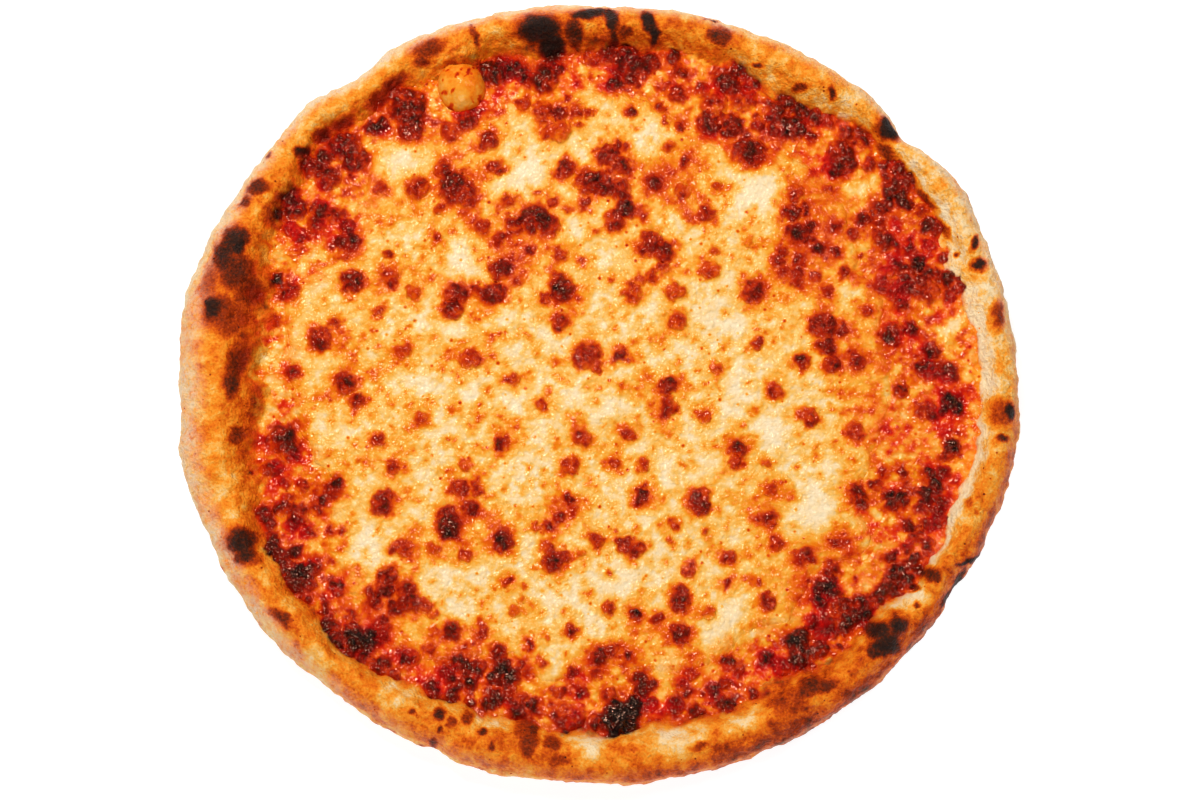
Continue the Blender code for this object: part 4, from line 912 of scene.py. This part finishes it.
def baked_topping(name, bump_strength, gloss):
    """Melted cheese or tomato sauce under a film of oil: smooth blisters with sharp highlights."""
    material, tree = start_material(name)
    place = add_node(tree, "TexCoord").outputs["Object"]
    browned, colour = topping_colour(tree, place)
    bubbly = add_node(tree, "Attribute", attribute_name="bubbly").outputs["Fac"]
    # Unevenness of the oily film, 1.8 mm, and lumps in the blisters, 2 mm
    fine = add_node(tree, "TexNoise", {"Scale": per_mm(1.8), "Detail": 1.5, "Roughness": 0.5},
                    {"Vector": place}).outputs["Fac"]
    berry = add_node(tree, "TexVoronoi", {"Scale": per_mm(2.0)}, {"Vector": place}).outputs["Distance"]
    berry = add_node(tree, "Math", links={0: berry, 1: bubbly}, operation="MULTIPLY")
    relief = add_node(tree, "Math", {1: -0.5}, {0: berry, 2: fine}, operation="MULTIPLY_ADD")
    bump = add_node(tree, "Bump", {"Strength": bump_strength, "Distance": 1.0 * MM}, {"Height": relief})
    rough = add_node(tree, "MapRange", {"From Min": 0.1, "From Max": 0.6, "To Min": 0.24, "To Max": 0.11},
                     {"Value": browned})
    shader = add_node(
        tree, "BsdfPrincipled",
        {"IOR": 1.46, "Specular IOR Level": gloss, "Specular Tint": linear(OIL_TINT)},
        {"Base Color": colour, "Roughness": rough, "Normal": bump.outputs[0]},
    )
    finish_material(tree, shader)
    return material


# Studio


def make_light(name, place, size, power):
    """Round lamp aimed at the origin."""
    light = bpy.data.lights.new(name, "AREA")
    light.shape, light.size, light.energy = "DISK", size, power
    lamp = bpy.data.objects.new(name, light)
    lamp.location = place
    lamp.rotation_euler = (-Vector(place)).to_track_quat("-Z", "Y").to_euler()
    bpy.context.scene.collection.objects.link(lamp)


def make_studio():
    """White glowing table, soft lamps from the back left, right and front, and a dim white room."""
    mesh = bpy.data.meshes.new("studio_floor")
    mesh.from_pydata([(-3, -3, 0), (3, -3, 0), (3, 3, 0), (-3, 3, 0)], [], [(0, 1, 2, 3)])
    material, tree = start_material("lit_white_table")
    table = add_node(tree, "BsdfPrincipled", {
        "Base Color": linear(GROUND_COLOUR), "Roughness": 0.9,
        "Emission Color": linear("FFFFFF"), "Emission Strength": GROUND_GLOW,
    })
    finish_material(tree, table)
    mesh.materials.append(material)
    floor = bpy.data.objects.new("studio_floor", mesh)
    bpy.context.scene.collection.objects.link(floor)
    world = bpy.data.worlds.new("white_room")
    world.use_nodes = True
    world.node_tree.nodes["Background"].inputs["Color"].default_value = (1, 1, 1, 1)
    up = add_node(world.node_tree, "TexCoord").outputs["Generated"]
    up = add_node(world.node_tree, "SeparateXYZ", links={0: up}).outputs["Z"]
    glow = add_node(world.node_tree, "MapRange",
                    {"From Min": 0.1, "From Max": 0.7, "To Min": 0.4, "To Max": 0.03}, {"Value": up})
    world.node_tree.links.new(glow.outputs[0], world.node_tree.nodes["Background"].inputs["Strength"])
    bpy.context.scene.world = world
    for lamp in LAMPS:
        make_light(*lamp)
    bpy.context.scene.view_settings.view_transform = "Standard"


def make_camera():
    """Camera almost straight above, tilted towards the photo's bottom edge."""
    tilt = math.radians(CAMERA_TILT)
    aim = (Vector(CAMERA_AIM) - Vector(pizza_middle())) * MM
    lens = bpy.data.cameras.new("photo_camera")
    lens.lens, lens.sensor_width = CAMERA_LENS, 36.0
    camera = bpy.data.objects.new("photo_camera", lens)
    camera.location = aim + CAMERA_DISTANCE * MM * Vector((0, -math.sin(tilt), math.cos(tilt)))
    camera.rotation_euler = (tilt, 0, 0)
    bpy.context.scene.collection.objects.link(camera)
    bpy.context.scene.camera = camera


dough = baked_wheat_dough()
make_rim(dough)
make_dough_bubble(baked_topping("oiled_dough_skin", 0.4, 0.3))
sauce_finish = baked_topping("baked_tomato_sauce", 0.8, 0.6)
cheese_finish = baked_topping("melted_mozzarella", 1.0, 0.55)
make_sauce(sauce_finish)
make_cheese(cheese_finish)
capped = [spot for spot in BLISTERS if spot[2] >= CAP_LEAST_RADIUS]
on_cheese = [spot for spot in capped if math.hypot(spot[0], spot[1]) < ragged_cheese_edge(angle_of(*spot[:2])) - 1]
on_sauce = [spot for spot in capped if spot not in on_cheese]
make_caps("cheese_blisters", on_cheese, CHEESE_CAP_SPACING, cheese_finish, "melted_cheese")
make_caps("sauce_blisters", on_sauce, SAUCE_CAP_SPACING, sauce_finish, "tomato_sauce")
make_studio()
make_camera()
